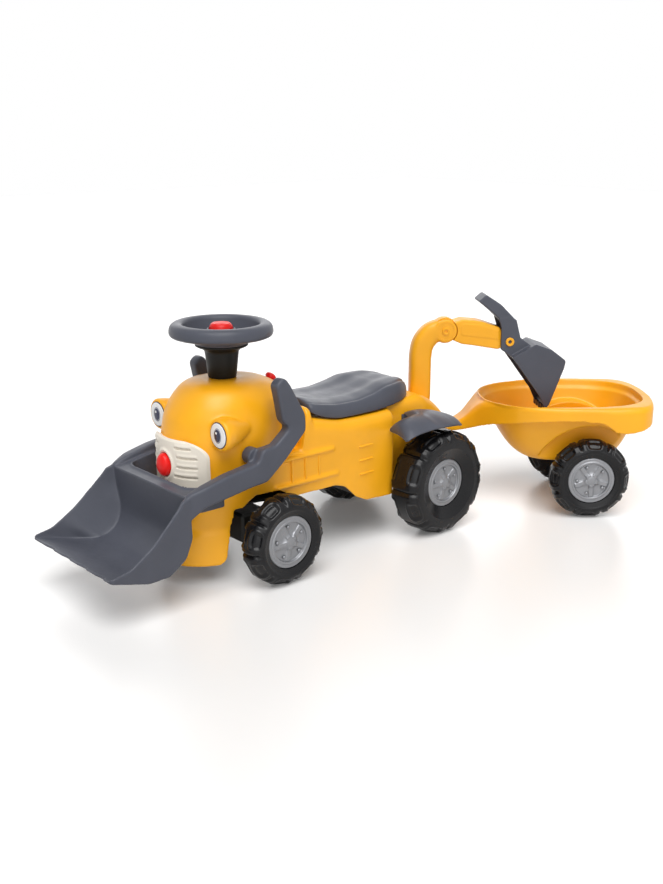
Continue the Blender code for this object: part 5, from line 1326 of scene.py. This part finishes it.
@dataclass
class Trailer:
    """The one-piece tub with its tow bar, drawn in the tow bar's frame: side, distance, height.

    The deck's rows are distance, half width, top and underside; the tub's are z, half width, front, back.
    """

    floor: float = 0.098
    wall: float = 0.0042
    arch_radius: float = 0.103
    arch_face: float = 0.0775
    axle: float = 0.290
    deck: Table = mm(
        (-20, 8, 166, 150.3), (-14, 16, 166, 150.3), (0, 21, 166.5, 150.3), (30, 24, 168, 150.3),
        (50, 29, 179, 154), (70, 40, 201, 161), (85, 53, 215, 168), (100, 67, 221, 174),
        (120, 85, 222.5, 180), (150, 107, 222.5, 187), (190, 124, 222.5, 193), (240, 133, 222.5, 197),
        (298, 135.5, 222.5, 194), (317, 135.5, 222.5, 187), (334, 135, 222.5, 174),
        (355, 133.5, 222.5, 171), (385, 128, 222.5, 175), (403, 115, 222.5, 180), (414, 95, 222.5, 182),
        (420, 70, 222.5, 183), (425, 35, 222.5, 183),
    )
    tub: Table = mm(
        (98, 60, 190, 335), (104, 78, 168, 353), (125, 91, 142, 373), (165, 104, 116, 391),
        (205, 114, 94, 406), (221, 118, 86, 410),
    )

    def deck_solid(self, inset: float) -> Mesh:
        """The rim and tow bar as a solid, or the space under them when drawn in."""
        turn = np.linspace(0.0, math.pi / 2, 8)
        rings = []
        for s, half, top, low in between(self.deck, spread_over((-0.020, 0.38, 110), (0.38, 0.425, 36))):
            if inset > 0 and s < 0.045:
                continue
            width, high = half - inset, top - inset
            floor = low - 0.06 if inset > 0 else low
            soft = min(0.012, (high - floor) * 0.3, width * 0.4)
            corner = np.column_stack([width - soft + soft * np.cos(turn), high - soft + soft * np.sin(turn)])
            rings.append(at_y(mirrored(np.vstack([[[width, floor]], corner])), s - inset if s > 0.42 else s))
        return skin(rings)

    def tub_solid(self, inset: float) -> Mesh:
        """The bowl as a solid, or the space in it when drawn in, with a step under its rim."""
        middle = 0.245
        rings = []
        for z, half, front, back in between(self.tub, np.linspace(self.floor, 0.221, 50)):
            height = z + inset if z < 0.12 else z
            less = inset - 0.0040 * step_up(z, 0.2070, 0.2095)
            ring = oval(half - less, front + less, back - less, height, 96, 2.9, middle)
            ring[:, 0] *= 1 - 0.23 * np.clip((middle - ring[:, 1]) / 0.163, 0.0, 1.0) ** 3
            rings.append(ring)
        if inset > 0:
            rings.append(rings[-1] + np.array([0, 0, 0.03]))
        return skin(rings)

    def arches(self, grow: float) -> list[Mesh]:
        """The round wheel arches on both sides, larger by an amount."""
        made = []
        for _, sign in SIDES:
            ends = sorted(((self.arch_face - grow) * sign, 0.18 * sign))
            made.append(axle(self.arch_radius + grow, *ends, (self.axle, WHEEL_Z), 96))
        return made

    def moulding(self) -> Mesh:
        """The whole tub with its rim, melted into one soft-edged skin."""
        bowl, space = (carved(self.tub_solid(inset), self.arches(inset)) for inset in (0.0, self.wall))
        body = carved(self.deck_solid(0.0), [self.deck_solid(self.wall)])
        body = carved(carved(body, [bowl], "UNION"), [space])
        body = carved(body, [rod(0.010, (0.048, 0.118, 0.226), (0.062, 0.124, 0.226))])
        ears = [box((x, 0.274, 0.0665), (x + 0.010, 0.306, 0.104)) for x in (0.056, -0.066)]
        bores = [rod(0.0053, (0, 0, 0.12), (0, 0, 0.20)), axle(0.0043, -0.15, 0.15, (self.axle, WHEEL_Z))]
        return carved(melted([body] + ears, 0.0019, 3, 0.62), bores)

    def build(self, layout: Layout) -> None:
        """Makes the tub and the tow pin's head."""
        layout.put("trailer_moulding", self.moulding(), YELLOW, "trailer", ["trailer_tub"], Frame.TRAILER, 50.0)
        head = mm((0, 174.2), (6, 173.8), (8.5, 172.8), (9.8, 171.2), (10, 169))
        pin = turned(head + mm((4.5, 169), (4.5, 119), (0, 119)), 48)
        pin.transform(moved(0, Frame.TRAILER.along, 0))
        layout.put("tow_pin_moulding", pin, BLACK, "tractor", ["tow_pin"])


@dataclass
class Studio:
    """The pale floor, the soft light and the camera."""

    azimuth: float = 48.777
    roll: float = -0.06
    elevation: float = 16.476
    lens: float = 44.75
    eye: tuple[float, float, float] = (1.4905, -1.0824, 0.7615)
    glow: float = 0.14
    key: float = 2.75
    fill: float = 0.60
    rear: float = 0.50
    reach: float = 9.0

    def shown(self, tree: Tree, low: float, high: float) -> Socket:
        """High for rays from the camera, from gloss and through glass, and low for the rest."""
        path = tree.nodes.new("ShaderNodeLightPath").outputs
        value = path["Is Camera Ray"]
        for name in ("Is Glossy Ray", "Is Transmission Ray"):
            value = node(tree, "ShaderNodeMath", "Value", {0: value, 1: path[name]}, operation="MAXIMUM")
        return node(tree, "ShaderNodeMapRange", "Result", {"To Min": low, "To Max": high, "Value": value})

    def world(self) -> None:
        """A white surround that lights the object softly."""
        world = bpy.data.worlds.new("white_surround")
        world.use_nodes = True
        tree = world.node_tree
        inputs = {"Color": (1.0, 1.0, 1.0, 1.0), "Strength": self.shown(tree, self.glow, 1.0)}
        feed(tree, tree.nodes["Background"], inputs)
        bpy.context.scene.world = world

    def floor(self) -> None:
        """A wide white floor that keeps the object's shadow."""
        mesh = bpy.data.meshes.new("floor")
        corners = [(a * self.reach, b * self.reach, -0.0004) for a, b in ((-1, -1), (1, -1), (1, 1), (-1, 1))]
        mesh.from_pydata(corners, [], [(0, 1, 2, 3)])
        item = placed("studio_floor", mesh)
        material = bpy.data.materials.new("white_floor")
        material.use_nodes = True
        tree = material.node_tree
        inputs = {
            "Base Color": (0.91, 0.90, 0.89, 1.0),
            "Roughness": 0.30,
            "Specular IOR Level": 0.55,
            "Emission Color": (1.0, 1.0, 1.0, 1.0),
            "Emission Strength": self.shown(tree, 0.0, 0.08),
        }
        feed(tree, tree.nodes["Principled BSDF"], inputs)
        mesh.materials.append(material)

    def lamps(self) -> None:
        """Three far soft lamps, each with its power, its spread in degrees and the way its light travels."""
        rows = (
            ("soft_top", self.key, 48.0, (-0.38, 0.27, -0.88)),
            ("soft_front", self.fill, 50.0, (-0.80, 0.52, -0.30)),
            ("soft_rear", self.rear, 50.0, (0.72, -0.53, -0.45)),
        )
        for name, power, spread, direction in rows:
            light = bpy.data.lights.new(name, "SUN")
            light.energy = power
            light.angle = math.radians(spread)
            placed(name, light).rotation_euler = Vector(direction).to_track_quat("-Z", "Y").to_euler()

    def build(self, layout: Layout) -> None:
        """Sets the world, the floor, the lamps and the camera."""
        self.world()
        self.floor()
        self.lamps()
        camera = bpy.data.cameras.new("camera")
        camera.sensor_fit = "VERTICAL"
        camera.sensor_height = 36.0
        camera.lens = self.lens
        item = placed("camera", camera)
        item.location = Vector(self.eye) + layout.origin
        turn = (90.0 - self.elevation, self.roll, self.azimuth)
        item.rotation_euler = [math.radians(angle) for angle in turn]
        bpy.context.scene.camera = item
        bpy.context.scene.view_settings.view_transform = "Standard"


def dress_kept_nodes(frame: dict[str, object]) -> None:
    """Gives every node of the frame the finish of its record slot."""
    slots = {entry["node"]: entry["material_slot"] for entry in frame["record"]["subparts"]}
    for name, item in frame["nodes"].items():
        finish = FINISHES[slots[name]]
        item.data.materials.clear()
        item.data.materials.append(finish.material())


def main() -> None:
    """Builds the studio and every sub-assembly round the frame."""
    logging.basicConfig(level=logging.INFO, format="%(message)s")
    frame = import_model()
    layout = Layout()
    Studio().build(layout)
    dress_kept_nodes(frame)
    body = BodyMoulding()
    for assembly in (body, FrontFace(body), Seat(), Steering(), Fenders(), Loader(), Excavator(), Trailer()):
        assembly.build(layout)
    make_wheels(layout)


if __name__ == "__main__":
    main()
